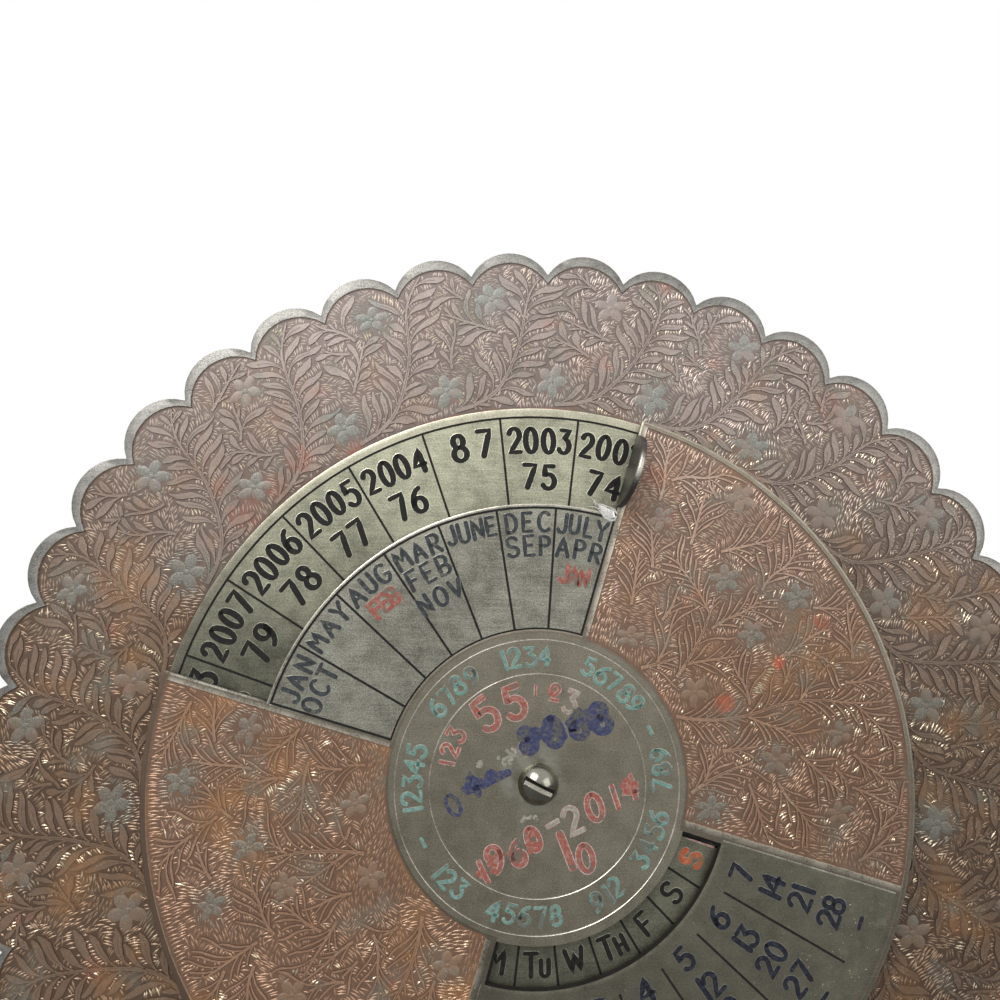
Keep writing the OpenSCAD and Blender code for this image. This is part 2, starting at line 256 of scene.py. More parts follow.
class Shading(Graph):
    """Shader tree of one material, in the plate's own millimetres."""

    def __init__(self, name: str, plate: PlateFrame) -> None:
        """Makes the material and its surface point.

        Args:
            name: Name of the material.
            plate: Frame that the patterns lie in.
        """
        self.material = bpy.data.materials.new(name)
        self.material.use_nodes = True
        super().__init__(self.material.node_tree)
        self.tree.nodes.clear()
        inverse = plate.to_world.inverted()
        coordinates = self.node("ShaderNodeTexCoord").outputs["Object"]
        places = {
            "Vector": coordinates,
            "Location": inverse.translation,
            "Rotation": inverse.to_euler(),
            "Scale": inverse.to_scale(),
        }
        self.point = self.out("ShaderNodeMapping", None, places)

    def noise(self, scale: float, detail: float = 3.0, rough: float = 0.55, move: Point3 = (0, 0, 0),
              stretch: Point3 = (1, 1, 1), turn: float = 0.0) -> Value:
        """Noise over the surface.

        Args:
            scale: Features per millimetre.
            detail: Octaves.
            rough: Share of the finer octaves.
            move: Shift of the pattern, so that two patterns differ.
            stretch: Scale along the plate's axes.
            turn: Turn of the stretched pattern in the plane.

        Returns:
            A value around 0.5.
        """
        places = {"Vector": self.point, "Location": move, "Rotation": (0, 0, math.radians(turn)), "Scale": stretch}
        point = self.out("ShaderNodeMapping", None, places)
        inputs = {"Vector": point, "Scale": scale, "Detail": detail, "Roughness": rough}
        return self.value("ShaderNodeTexNoise", None, inputs)

    def axis(self, name: str) -> Value:
        """One coordinate of the surface point, in mm."""
        return self.part(self.point, name)

    def distance(self, x: float, y: float) -> Value:
        """Distance from the line through a place on the plate, in mm."""
        flat = self.out("ShaderNodeVectorMath", {"operation": "MULTIPLY"}, {0: self.point, 1: (1, 1, 0)})
        node = self.node("ShaderNodeVectorMath", {"operation": "DISTANCE"}, {0: flat, 1: (x, y, 0)})
        return Value(self, node.outputs["Value"])

    def attribute(self, name: str) -> Value:
        """Number that the mesh carries at its vertices."""
        return Value(self, self.node("ShaderNodeAttribute", {"attribute_name": name}).outputs["Fac"])

    def mix(self, share: Value | float, first: "Rgb | NodeSocket",
            second: "Rgb | NodeSocket") -> NodeSocket:
        """Colour between two others.

        Args:
            share: Share of the second colour.
            first: A colour or the socket of one.
            second: A colour or the socket of one.

        Returns:
            The socket of the mixed colour.
        """
        colours = [c if isinstance(c, NodeSocket) else (*c, 1.0) for c in (first, second)]
        inputs = {0: share, 6: colours[0], 7: colours[1]}
        return self.node("ShaderNodeMix", {"data_type": "RGBA"}, inputs).outputs[2]

    def gain(self, colour: NodeSocket, factor: Value) -> NodeSocket:
        """Colour made lighter or darker by a factor that varies."""
        return self.out("ShaderNodeVectorMath", {"operation": "SCALE"}, {0: colour, "Scale": factor})

    def surface(self, colour: NodeSocket, metallic: Value | float, roughness: Value | float,
                relief: Value, depth: float, sheen: float = 0.5) -> Material:
        """Closes the material with its shader.

        Args:
            colour: Socket of the base colour.
            metallic: Share of bare metal.
            roughness: Roughness.
            relief: Height over the surface, from 0 to 1.
            depth: Depth of that relief, in mm.
            sheen: Specular level of what isn't bare metal.

        Returns:
            The finished material.
        """
        bump = self.out("ShaderNodeBump", None, {"Height": relief, "Distance": depth * MM, "Strength": 1.0})
        inputs = {
            "Base Color": colour,
            "Metallic": metallic,
            "Roughness": roughness,
            "Normal": bump,
            "Specular IOR Level": sheen,
        }
        shader = self.out("ShaderNodeBsdfPrincipled", None, inputs)
        self.node("ShaderNodeOutputMaterial", None, {"Surface": shader})
        return self.material


# ------------ finishes


@dataclass(frozen=True)
class AgedMetal:
    """Bare sheet metal that has dulled, with grime, brush marks and rubbed edges, and with painted light where set."""

    name: str
    tone: Rgb
    shade: Rgb
    dirt: Rgb = (0.05, 0.045, 0.035)
    bright: Rgb = (0.62, 0.58, 0.47)
    grime: float = 0.5
    brush_turn: float = 0.0
    scratched: float = 0.5
    metallic: float = 0.75
    roughness: float = 0.42
    depth: float = 0.012
    top_light: float = 0.0
    light_span: Point2 = (-20.0, 62.0)
    sheen: float = 0.5
    specks: float = 0.0
    rubbed_centre: float = 0.0
    grainy: float = 1.0
    streaky: float = 0.2
    left_shade: float = 0.0

    def make(self, plate: PlateFrame) -> Material:
        """Builds the material in the plate's frame.

        Args:
            plate: Frame that the patterns lie in.

        Returns:
            The material.
        """
        graph = Shading(self.name, plate)
        patches = graph.noise(0.06, 4.0)
        cloud = graph.noise(0.4, 5.0, 0.6, move=(7, 3, 1))
        grain = graph.noise(3.2, 4.0, 0.65)
        brushed = graph.noise(1.0, 3.0, 0.65, stretch=(0.16, 3.4, 1.0), turn=self.brush_turn)
        scored = graph.noise(1.0, 2.0, 0.5, stretch=(0.06, 5.5, 1.0), turn=self.brush_turn + 63, move=(3, 9, 0))
        fine = graph.noise(5.5, 2.0, 0.6, move=(2, 2, 5))
        mottle = ((patches - 0.5) * 1.5 + (cloud - 0.5) * 1.3 + (grain - 0.5) * 1.3 + 0.5).clamp()
        colour = graph.mix(mottle, self.shade, self.tone)
        colour = graph.gain(colour, 1.0 + ((fine - 0.5) * 1.6 + (brushed - 0.5) * self.streaky) * self.grainy)
        spots = (cloud + (grain - 0.5) * 0.7).step(0.62, 0.78)
        colour = graph.mix(spots * self.grime, colour, self.dirt)
        scratches = (scored.step(0.68, 0.76) * 0.4 + brushed.step(0.66, 0.8) * 0.25) * self.scratched
        # Rubbed metal and painted highlights along lit edges are both mixed towards the bright colour.
        rubbed_and_lit = scratches + graph.attribute("wear") * (grain * 0.6 + cloud * 0.6).step(0.42, 0.68)
        if self.rubbed_centre:
            rubbed_and_lit = rubbed_and_lit + graph.distance(-1.0, 1.0).step(6.0, 3.2) * cloud.step(0.3, 0.6) * self.rubbed_centre
        rubbed_and_lit = rubbed_and_lit.clamp()
        colour = graph.mix(rubbed_and_lit, colour, self.bright)
        if self.specks:
            outer = graph.distance(0, 0).step(38.0, 56.0)
            pale = graph.noise(0.55, 2.0, 0.5, move=(14, 2, 0)).step(0.58, 0.7) * 0.5
            colour = graph.mix(pale * (outer * 0.7 + 0.3) * self.specks, colour, (0.26, 0.25, 0.18))
            glints = graph.noise(1.9, 2.0, 0.5, move=(1, 40, 0)).step(0.7, 0.74) * (outer * 0.9 + 0.1)
            colour = graph.mix(glints * self.specks, colour, (0.85, 0.78, 0.52))
        # Painted light: the colour is lighter towards the top of the plate, where the light falls.
        if self.top_light:
            colour = graph.gain(colour, 1.0 + graph.axis("Y").step(*self.light_span) * self.top_light)
        # Painted shade: the rim band is mixed towards dark brown on the left, which faces away from the light.
        if self.left_shade:
            outside = graph.distance(0, 0).step(57.4, 58.2)
            painted_shade_share = graph.axis("X").step(-30.0, -50.0) * outside * self.left_shade
            colour = graph.mix(painted_shade_share, colour, (0.168, 0.11, 0.078))
        roughness = self.roughness + (cloud - 0.5) * 0.3 + spots * 0.15 - rubbed_and_lit * 0.12
        relief = brushed * 0.4 + grain * 0.4 + cloud * 0.5
        return graph.surface(colour, self.metallic, roughness, relief, self.depth, self.sheen)


@dataclass(frozen=True)
class Lacquer:
    """Coloured lacquer rubbed into engraved metal, greyer at the top and browner below, partly as painted light."""

    name: str
    upper: Rgb
    lower: Rgb
    metal: Rgb = (0.8, 0.7, 0.5)
    glint: float = 0.0
    red: float = 0.6
    red_edge: float = 0.0
    washed: float = 0.0
    right_shade: float = 0.2
    metallic: float = 0.35
    roughness: float = 0.5
    depth: float = 0.02

    RED_SPOTS = ((37.5, 19.0, 1.4, 1.2), (29.0, 12.6, 2.1, 1.0), (44.5, 25.5, 1.8, 0.7), (19.5, 41.5, 2.2, 0.4),
                 (18.0, 48.0, 2.6, 0.35), (-39.0, 49.0, 3.0, 0.4), (-30.0, 50.5, 2.4, 0.5), (47.5, 61.5, 2.6, 0.4),
                 (-47.0, 40.0, 3.4, 0.55), (-43.0, 44.5, 2.6, 0.4), (-50.5, 44.0, 2.2, 0.4))

    def make(self, plate: PlateFrame) -> Material:
        """Builds the material in the plate's frame.

        Args:
            plate: Frame that the patterns lie in.

        Returns:
            The material.
        """
        graph = Shading(self.name, plate)
        patches = graph.noise(0.05, 4.0, move=(4, 0, 2))
        cloud = graph.noise(0.22, 5.0, 0.6)
        grain = graph.noise(2.4, 4.0, 0.65)
        # Partly painted light: the lacquer runs from its lower to its upper colour up the plate, lighter and greyer at
        # the top where the light falls, with warmer orange patches below; the browner tone below is also its own.
        height = graph.axis("Y").step(2.0, 94.0)
        colour = graph.mix((height + (patches - 0.5) * 0.7).clamp(), self.lower, self.upper)
        warm = graph.noise(0.1, 4.0, move=(21, 5, 0)).step(0.5, 0.7) * (1.1 - height) * 0.45
        colour = graph.mix(warm, colour, (0.36, 0.18, 0.07))
        green = graph.noise(0.13, 4.0, move=(2, 30, 0)).step(0.54, 0.7) * 0.5
        colour = graph.mix(green, colour, (0.2, 0.19, 0.15))
        red = graph.noise(0.16, 4.0, move=(11, 17, 3)).step(0.6, 0.76) * 0.35
        for x, y, reach, share in self.RED_SPOTS:
            ragged = graph.distance(x, y) + (cloud - 0.5) * (reach * 1.6)
            red = red.math("MAXIMUM", red, ragged.step(reach, reach * 0.55) * share)
        if self.red_edge:
            line = graph.distance(0, 0).step(self.red_edge + 0.25, self.red_edge - 0.15) * 0.65
            broken = graph.noise(0.11, 3.0, 0.6, move=(0, 3, 8)).step(0.42, 0.54) * graph.axis("Y").step(30.0, 50.0)
            red = red.math("MAXIMUM", red, line * broken)
        colour = graph.mix(red * cloud.step(0.3, 0.6) * self.red, colour, (0.5, 0.12, 0.06))
        wash = (graph.attribute("wash") + self.washed).clamp()
        wash = wash * (cloud * 0.8 + grain * 0.2 + patches - 0.5).step(0.38, 0.6)
        fine = graph.noise(4.5, 2.0, 0.6, move=(6, 1, 5))
        enamel = graph.mix(fine.step(0.35, 0.75), (0.118, 0.153, 0.135), (0.31, 0.365, 0.325))
        # Painted light: the enamel wash is made lighter towards the top.
        colour = graph.mix(wash * 0.75, colour, graph.gain(enamel, 0.7 + height * 0.4))
        colour = graph.gain(colour, 0.12 + cloud * 0.5 + grain * 0.6 + fine * 0.66)
        # Painted shade: darker towards the lower right.
        colour = graph.gain(colour, 1.0 - graph.axis("X").step(12.0, 55.0) * (1.0 - height) * self.right_shade)
        # Painted glints: sparse patches and the shining rows of strokes are mixed towards bright metal, fewer on the
        # left where less light falls; rubbed metal on the sheets is mixed in the same way.
        sparkle = graph.noise(0.3, 3.0, 0.6, move=(9, 9, 9)).step(0.45, 0.66) * fine.step(0.5, 0.66)
        sparkle = sparkle * (1.0 - graph.axis("X").step(-8.0, -46.0) * 0.55) * self.glint
        bare = (sparkle + graph.attribute("wear") * grain.step(0.34, 0.6) * 0.75).clamp()
        colour = graph.mix(bare, colour, self.metal)
        roughness = self.roughness + (grain - 0.5) * 0.3 - bare * 0.15
        metallic = (self.metallic + bare * 0.5).clamp()
        return graph.surface(colour, metallic, roughness, grain * 0.7 + cloud * 0.5, self.depth)


@dataclass(frozen=True)
class Paint:
    """Paint or ink in a mark, chipped and worn through to the metal in places."""

    name: str
    colour: Rgb
    pale: Rgb
    worn: float = 0.3
    metal: Rgb = (0.3, 0.29, 0.23)
    roughness: float = 0.6
    patchy: float = 0.0

    def make(self, plate: PlateFrame) -> Material:
        """Builds the material in the plate's frame.

        Args:
            plate: Frame that the patterns lie in.

        Returns:
            The material.
        """
        graph = Shading(self.name, plate)
        grain = graph.noise(2.0, 4.0, 0.65, move=(1, 2, 3))
        cloud = graph.noise(0.3, 4.0, 0.6, move=(5, 1, 0))
        colour = graph.mix(grain.step(0.42, 0.7), self.colour, self.pale)
        patches = graph.noise(0.09, 3.0, move=(8, 0, 3))
        bare = ((grain - 0.5) * 1.2 + (cloud - 0.5) * 1.6 + (patches - 0.5) * self.patchy + 0.5)
        bare = bare.step(0.95 - self.worn, 1.12 - self.worn)
        colour = graph.mix(bare, colour, self.metal)
        roughness = self.roughness + (grain - 0.5) * 0.3
        return graph.surface(colour, bare * 0.6, roughness, grain, 0.02, 0.25)


BASE_FLOOR = Lacquer("base_ground", (0.222, 0.178, 0.162), (0.109, 0.066, 0.041), red_edge=58.8, right_shade=0.3)
BASE_LEAF = Lacquer("base_leaf", (0.37, 0.312, 0.286), (0.205, 0.131, 0.085), glint=0.35, metallic=0.4, roughness=0.45,
                    right_shade=0.3)
BASE_HATCH = Lacquer("base_hatch", (0.68, 0.575, 0.515), (0.31, 0.203, 0.128), glint=0.5, metallic=0.45, roughness=0.42,
                     right_shade=0.3)
COVER_FLOOR = Lacquer("cover_ground", (0.21, 0.154, 0.129), (0.18, 0.104, 0.065))
COVER_LEAF = Lacquer("cover_leaf", (0.6, 0.45, 0.378), (0.34, 0.2, 0.125), glint=0.45, metallic=0.4, roughness=0.45)
COVER_HATCH = Lacquer("cover_hatch", (0.79, 0.595, 0.49), (0.335, 0.198, 0.125), glint=0.6, metallic=0.42,
                      roughness=0.44)
RIM = AgedMetal("rim_brass", (0.262, 0.254, 0.236), (0.13, 0.122, 0.108), grime=0.4, grainy=1.8, roughness=0.45,
                bright=(0.5, 0.49, 0.45))
# Partly tarnish, partly painted shade: this dark tone goes on the window walls and on the base's outer rim edge, where
# shade falls.
SHADE = AgedMetal("dark_edge", (0.03, 0.027, 0.022), (0.014, 0.012, 0.01), grime=0.3, bright=(0.6, 0.57, 0.5),
                  scratched=0.05, metallic=0.15, roughness=0.6, sheen=0.15)
# Partly tarnish, partly painted shade: the tab's dark tone stands for its shaded side.
TAB = AgedMetal("tab_brass", (0.085, 0.08, 0.07), (0.03, 0.028, 0.024), bright=(0.7, 0.67, 0.6), metallic=0.5,
                grainy=1.6)
BACK = AgedMetal("back_brass", (0.42, 0.34, 0.2), (0.27, 0.21, 0.12), grime=0.6, brush_turn=20)
# The dial, its band, the months and the margin are made lighter towards the top as painted light; the margin is also
# browned on the left rim as painted shade.
DIAL = AgedMetal("dial_brass", (0.235, 0.233, 0.172), (0.096, 0.096, 0.071), grime=0.35, top_light=1.36,
                 light_span=(12.0, 54.0), bright=(0.42, 0.41, 0.32), grainy=1.2, streaky=0.6)
DIAL_BAND = AgedMetal("dial_band", (0.22, 0.21, 0.16), (0.12, 0.115, 0.085), grime=0.35, top_light=1.75,
                      light_span=(20.0, 52.0), depth=0.008, bright=(0.5, 0.48, 0.4))
MONTHS = AgedMetal("months_brass", (0.36, 0.353, 0.292), (0.142, 0.136, 0.108), grime=0.3, top_light=0.2,
                   depth=0.01, bright=(0.5, 0.49, 0.42), grainy=1.5, streaky=0.5)
HUB = AgedMetal("hub_brass", (0.278, 0.258, 0.198), (0.19, 0.17, 0.126), grime=0.3, depth=0.006,
                bright=(0.4, 0.4, 0.345), rubbed_centre=0.6, scratched=0.3)
DATES = AgedMetal("dates_brass", (0.2, 0.19, 0.143), (0.128, 0.12, 0.09), grime=0.4, depth=0.008,
                  bright=(0.36, 0.34, 0.26), specks=0.9, scratched=0.3)
MARGIN = AgedMetal("margin_brass", (0.188, 0.162, 0.126), (0.125, 0.112, 0.083), grime=0.4, top_light=0.7,
                   bright=(0.62, 0.57, 0.47), depth=0.03, left_shade=0.85)
# Bright scribed lines; also a painted highlight on the lit cut edge of the months' step.
SCRIBE_AND_EDGE_HIGHLIGHT = AgedMetal("scribed_line", (0.72, 0.67, 0.59), (0.3, 0.275, 0.23), grime=0.3, metallic=0.85, roughness=0.32)
CHIP = AgedMetal("torn_burr", (0.85, 0.84, 0.8), (0.6, 0.6, 0.56), grime=0.1, metallic=0.6, roughness=0.3)
CUT = AgedMetal("cut_brass", (0.62, 0.58, 0.48), (0.4, 0.37, 0.3), grime=0.2, metallic=0.9, roughness=0.3)
SCREW = AgedMetal("screw_brass", (0.36, 0.35, 0.29), (0.2, 0.195, 0.16), metallic=1.0, roughness=0.2, grainy=0.4)
# Dirt with painted shadow, for the slot's floor.
SLOT_DIRT_AND_SHADOW = AgedMetal("slot_dirt", (0.03, 0.028, 0.023), (0.012, 0.011, 0.009), grime=0.4, bright=(0.1, 0.1, 0.08),
                 metallic=0.2, roughness=0.7, sheen=0.1)
STAND = AgedMetal("stand_brass", (0.46, 0.37, 0.22), (0.3, 0.24, 0.14), brush_turn=8)
# Rubbed metal with a painted highlight, for the slot's lower wall, which faces the light.
WORN_LIT_WALL = AgedMetal("worn_slot", (0.75, 0.72, 0.62), (0.42, 0.4, 0.33), grime=0.2, metallic=0.3, roughness=0.35)
RIVET = AgedMetal("rivet_brass", (0.52, 0.43, 0.27), (0.36, 0.29, 0.18), grime=0.45, metallic=0.9, roughness=0.34)
STEEL = AgedMetal("spring_steel", (0.3, 0.3, 0.31), (0.17, 0.165, 0.16), grime=0.6, metallic=0.95, roughness=0.36,
                  dirt=(0.09, 0.05, 0.03))
BLACK = Paint("black_fill", (0.008, 0.008, 0.007), (0.018, 0.018, 0.016), worn=0.02)
SLATE = Paint("slate_ink", (0.03, 0.034, 0.036), (0.072, 0.08, 0.085), metal=(0.14, 0.14, 0.12))
NIGHT = Paint("night_ink", (0.01, 0.011, 0.017), (0.03, 0.034, 0.052), worn=0.14, metal=(0.085, 0.085, 0.07))
RED = Paint("red_paint", (0.27, 0.08, 0.06), (0.36, 0.22, 0.18), worn=0.36, metal=(0.2, 0.16, 0.13), patchy=0.6)
ORANGE = Paint("orange_paint", (0.34, 0.075, 0.035), (0.42, 0.18, 0.085), worn=0.38, metal=(0.22, 0.16, 0.09),
               patchy=0.6)
PINK = Paint("pink_paint", (0.42, 0.24, 0.21), (0.55, 0.45, 0.42), metal=(0.2, 0.19, 0.15))
BLUE = Paint("blue_paint", (0.038, 0.043, 0.1), (0.085, 0.09, 0.145), worn=0.47, metal=(0.13, 0.125, 0.11), patchy=0.6)
TEAL = Paint("teal_paint", (0.12, 0.225, 0.195), (0.24, 0.36, 0.32), worn=0.4, metal=(0.17, 0.185, 0.16), patchy=0.9)
PALE = Paint("pale_paint", (0.24, 0.23, 0.185), (0.36, 0.35, 0.3), metal=(0.17, 0.16, 0.13))
BASE_PETAL = Lacquer("base_enamel", (0.36, 0.31, 0.285), (0.2, 0.135, 0.092), washed=0.75, metallic=0.2)
COVER_PETAL = Lacquer("cover_enamel", (0.38, 0.29, 0.245), (0.23, 0.145, 0.092), washed=0.75, metallic=0.2)
BASE_CUT = Lacquer("base_cut", (0.14, 0.11, 0.098), (0.07, 0.042, 0.025), metallic=0.1, roughness=0.7)
BASE_VEIN = Lacquer("base_vein", (0.2, 0.165, 0.15), (0.11, 0.068, 0.044), metallic=0.1, roughness=0.6)
COVER_CUT = Lacquer("cover_cut", (0.16, 0.118, 0.097), (0.09, 0.048, 0.028), metallic=0.1, roughness=0.7)
COVER_VEIN = Lacquer("cover_vein", (0.25, 0.185, 0.15), (0.145, 0.08, 0.048), metallic=0.1, roughness=0.6)


Finish = AgedMetal | Lacquer | Paint


class Palette:
    """Materials of the object, each made once."""

    def __init__(self, plate: PlateFrame) -> None:
        """Starts empty, in the plate's frame."""
        self.plate = plate
        self.made: dict[str, Material] = {}

    def __call__(self, finish: Finish) -> Material:
        """Material of a finish."""
        if finish.name not in self.made:
            self.made[finish.name] = finish.make(self.plate)
        return self.made[finish.name]


# ------------ meshes


class Pile:
    """Faces of one piece, gathered in mm before the piece is made."""

    def __init__(self) -> None:
        """Starts empty."""
        self.points: list[Sequence[float]] = []
        self.faces: list[tuple[int, ...]] = []
        self.slots: list[int] = []
        self.wear: list[float] = []

    def add(self, points: Iterable[Sequence[float]], faces: Iterable[Sequence[int]], slot: int = 0,
            wear: float | Sequence[float] = 0.0) -> None:
        """Adds a closed shell.

        Args:
            points: Its vertices.
            faces: Its faces, by vertex number in this shell.
            slot: Material slot of all its faces.
            wear: How far the metal is rubbed, with painted highlights along lit edges, one number or one for each
                vertex.
        """
        start = len(self.points)
        self.points.extend(points)
        count = len(self.points) - start
        self.wear.extend([wear] * count if isinstance(wear, (int, float)) else wear)
        for face in faces:
            self.faces.append(tuple(start + i for i in face))
            self.slots.append(slot)

    def loft(self, loops: Sequence[Sequence[Point3]], slot: int = 0, wear: float = 0.0) -> None:
        """Adds a closed skin through loops of equally many points.

        Args:
            loops: The loops, in order.
            slot: Material slot.
            wear: How far it is rubbed, with painted highlights along lit edges.
        """
        size, last = len(loops[0]), (len(loops) - 1) * len(loops[0])
        faces: list[Sequence[int]] = [tuple(range(size)), tuple(reversed(range(last, last + size)))]
        for i in range(len(loops) - 1):
            for j in range(size):
                k = (j + 1) % size
                faces.append((i * size + j, (i + 1) * size + j, (i + 1) * size + k, i * size + k))
        self.add([p for loop in loops for p in loop], faces, slot, wear)

    def band(self, path: Sequence[Point2], halves: Sequence[float], low: float, high: float, edge: float,
             slot: int = 0, wear: float = 0.0) -> None:
        """Adds a flat ridge along a path.

        Args:
            path: Middle line.
            halves: Half width at each of its points.
            low: Height of its foot.
            high: Height of its top.
            edge: Width of its sloped sides, as a share of the half width.
            slot: Material slot.
            wear: How far it is rubbed, with painted highlights along lit edges.
        """
        line = np.array(path, float)
        along = np.gradient(line, axis=0)
        along /= np.maximum(np.linalg.norm(along, axis=1), 1e-9)[:, None]
        loops = []
        for (x, y), (tx, ty), half in zip(line, along, halves):
            top = half * (1 - edge)
            profile = ((-half, low), (-top, high), (top, high), (half, low))
            loops.append([(x - ty * s, y + tx * s, z) for s, z in profile])
        self.loft(loops, slot, wear)

    def mesh(self, name: str, place: Matrix, materials: Sequence[Material]) -> Object:
        """Makes the piece.

        Args:
            name: Name of the piece.
            place: Frame of the gathered points in the standing frame.
            materials: Its materials, by slot.

        Returns:
            The object at the origin, with its place in its mesh.
        """
        mesh = bpy.data.meshes.new(name)
        mesh.from_pydata([tuple(p) for p in self.points], [], self.faces)
        mesh.polygons.foreach_set("material_index", self.slots)
        carry(mesh, wear=self.wear)
        return finished(name, mesh, place, materials)


def finished(name: str, mesh: Mesh, place: Matrix, materials: Sequence[Material]) -> Object:
    """Puts a mesh in its place, turns its faces outwards and links its object.

    Args:
        name: Name of the piece.
        mesh: Its mesh, in its own frame.
        place: That frame in the standing frame.
        materials: Materials that are added, by slot.

    Returns:
        The piece.
    """
    shape = bmesh.new()
    shape.from_mesh(mesh)
    bmesh.ops.delete(shape, geom=[v for v in shape.verts if not v.link_faces], context="VERTS")
    bmesh.ops.recalc_face_normals(shape, faces=shape.faces)
    shape.transform(place)
    shape.to_mesh(mesh)
    shape.free()
    for material in materials:
        mesh.materials.append(material)
    return linked(name, mesh)


def shade_smooth(piece: Object, angle: float) -> Object:
    """Shades a piece smooth, apart from edges sharper than an angle."""
    piece.data.shade_smooth()
    piece.data.set_sharp_from_angle(angle=math.radians(angle))
    return piece


def evaluated(piece: Object) -> Mesh:
    """Plain mesh of a piece with its modifiers, which are then removed."""
    graph = bpy.context.evaluated_depsgraph_get()
    mesh = bpy.data.meshes.new_from_object(piece.evaluated_get(graph), depsgraph=graph)
    piece.modifiers.clear()
    return mesh


def softened(node: Object, name: str, width: float, material: Material) -> Object:
    """Copy of a CAD node with its edges rounded over.

    Args:
        node: The CAD node, which is left alone.
        name: Name of the new piece.
        width: Width of the rounding, in mm.
        material: Its material.

    Returns:
        The new piece.
    """
    shape = bmesh.new()
    shape.from_mesh(node.data)
    bmesh.ops.remove_doubles(shape, verts=shape.verts, dist=WELD)
    bmesh.ops.dissolve_limit(shape, angle_limit=math.radians(FLAT_TURN), verts=shape.verts, edges=shape.edges)
    mesh = bpy.data.meshes.new(name)
    shape.to_mesh(mesh)
    shape.free()
    piece = linked(name, mesh)
    bevel = piece.modifiers.new("edges", "BEVEL")
    bevel.width, bevel.segments, bevel.angle_limit = width * MM, 2, math.radians(EDGE_TURN)
    bevel.harden_normals = False
    piece.data = evaluated(piece)
    piece.data.materials.clear()
    piece.data.materials.append(material)
    shade_smooth(piece, PRESSED_CREASE)
    for face in piece.data.polygons:
        face.use_smooth = face.area < FLAT_AREA
    return piece


# ------------ polar sheets


class Zone(Enum):
    """Zones of a sheet, which number its material slots."""

    BACK = 0
    MARGIN = 1
    FLOOR = 2
    FIELD = 3
    MONTHS = 4
    DATES = 5
    BLACK_LINE = 6
    BRIGHT_LINE = 7
    WALL = 8


RAY_TURN = 1.4
Ring = float | Callable[[float], float]
Ray = tuple[float, float]


@dataclass
class PolarSheet:
    """Sheet on a grid of rings and rays, with its windows, floors and cut lines.

    A ray is an angle and the distance by which the ray runs beside it.
    """

    rings: Sequence[Ring]
    rays: Sequence[Ray]
    low: float
    top: float
    zone: Callable[[float, float], Zone | None]
    drop: Callable[[int, float, float], float]
    wear: Callable[[int, float, float], float]
    NEAR = 22.0

    def angle(self, ray: Ray, radius: float) -> float:
        """Angle of a ray at a radius; inside NEAR the rays run straight to the centre."""
        return ray[0] + math.degrees(ray[1] / max(radius, self.NEAR))

    def place(self, i: int, j: int) -> tuple[float, float]:
        """Radius and angle of a grid point."""
        ring, ray = self.rings[i], self.rays[j]
        if callable(ring):
            angle = self.angle(ray, ring(ray[0]))
            return ring(angle), angle
        return ring, self.angle(ray, ring)

    def build(self, pile: Pile) -> None:
        """Adds the sheet to a pile."""
        rows, columns = len(self.rings), len(self.rays)
        places = [[self.place(i, j) for j in range(columns)] for i in range(rows)]
        zones = [[self.cell_zone(places, i, j) for j in range(columns)] for i in range(rows - 1)]
        points, wear = [], []
        for side in (0, 1):
            for i in range(rows):
                for radius, angle in places[i]:
                    height = self.top - self.drop(i, radius, angle) if side == 0 else self.low
                    points.append((*polar(radius, angle), height))
                    wear.append(self.wear(i, radius, angle) if side == 0 else 0.0)
        faces: dict[Zone, list[tuple[int, ...]]] = {z: [] for z in Zone}
        under = rows * columns
        for i in range(rows - 1):
            for j in range(columns):
                zone = zones[i][j]
                if zone is None:
                    continue
                k = (j + 1) % columns
                a, b, c, d = i * columns + j, (i + 1) * columns + j, (i + 1) * columns + k, i * columns + k
                faces[zone].append((a, b, c, d))
                faces[Zone.BACK].append((a + under, d + under, c + under, b + under))
                sides = (
                    (i == 0 or zones[i - 1][j] is None, a, d),
                    (i == rows - 2 or zones[i + 1][j] is None, c, b),
                    (zones[i][j - 1] is None, b, a),
                    (zones[i][k] is None, d, c),
                )
                for open_side, p, q in sides:
                    if open_side:
                        faces[Zone.WALL].append((p, q, q + under, p + under))
        start = len(pile.points)
        pile.add(points, [], 0, wear)
        for zone, group in faces.items():
            pile.faces.extend(tuple(start + i for i in face) for face in group)
            pile.slots.extend([zone.value] * len(group))

    def cell_zone(self, places: list[list[tuple[float, float]]], i: int, j: int) -> Zone | None:
        """Zone at the middle of a cell.

        Args:
            places: Radius and angle of every grid point.
            i: Ring of the cell.
            j: Ray of the cell.

        Returns:
            The zone, or None in an opening.
        """
        corners = [places[i][j], places[i + 1][j]]
        k = (j + 1) % len(self.rays)
        ahead = [places[i][k], places[i + 1][k]]
        radius = sum(r for r, _ in corners + ahead) / 4
        first, last = sum(a for _, a in corners) / 2, sum(a for _, a in ahead) / 2
        return self.zone(radius, first + (last - first) % 360 / 2)


def ray_order(ray: Ray) -> float:
    """Key that puts rays in order around the centre."""
    return ray[0] + ray[1] * RAY_TURN


def rays_beside(borders: Iterable[float], offsets: Sequence[float], spread: int, clear: float = 0.8) -> list[Ray]:
    """Rays that stand on both sides of borders, with plain rays between them.

    Args:
        borders: Angles of the borders.
        offsets: Distances of the rays that stand beside each border.
        spread: Number of plain rays around.
        clear: Angle around a border that plain rays keep out of.

    Returns:
        The rays in order.
    """
    marks = list(borders)
    rays: list[Ray] = [(b % 360, o) for b in marks for o in offsets]
    for i in range(spread):
        angle = i * 360 / spread
        if all(abs(turn_from(b, angle)) > clear for b in marks):
            rays.append((angle, 0.0))
    return sorted(rays, key=ray_order)


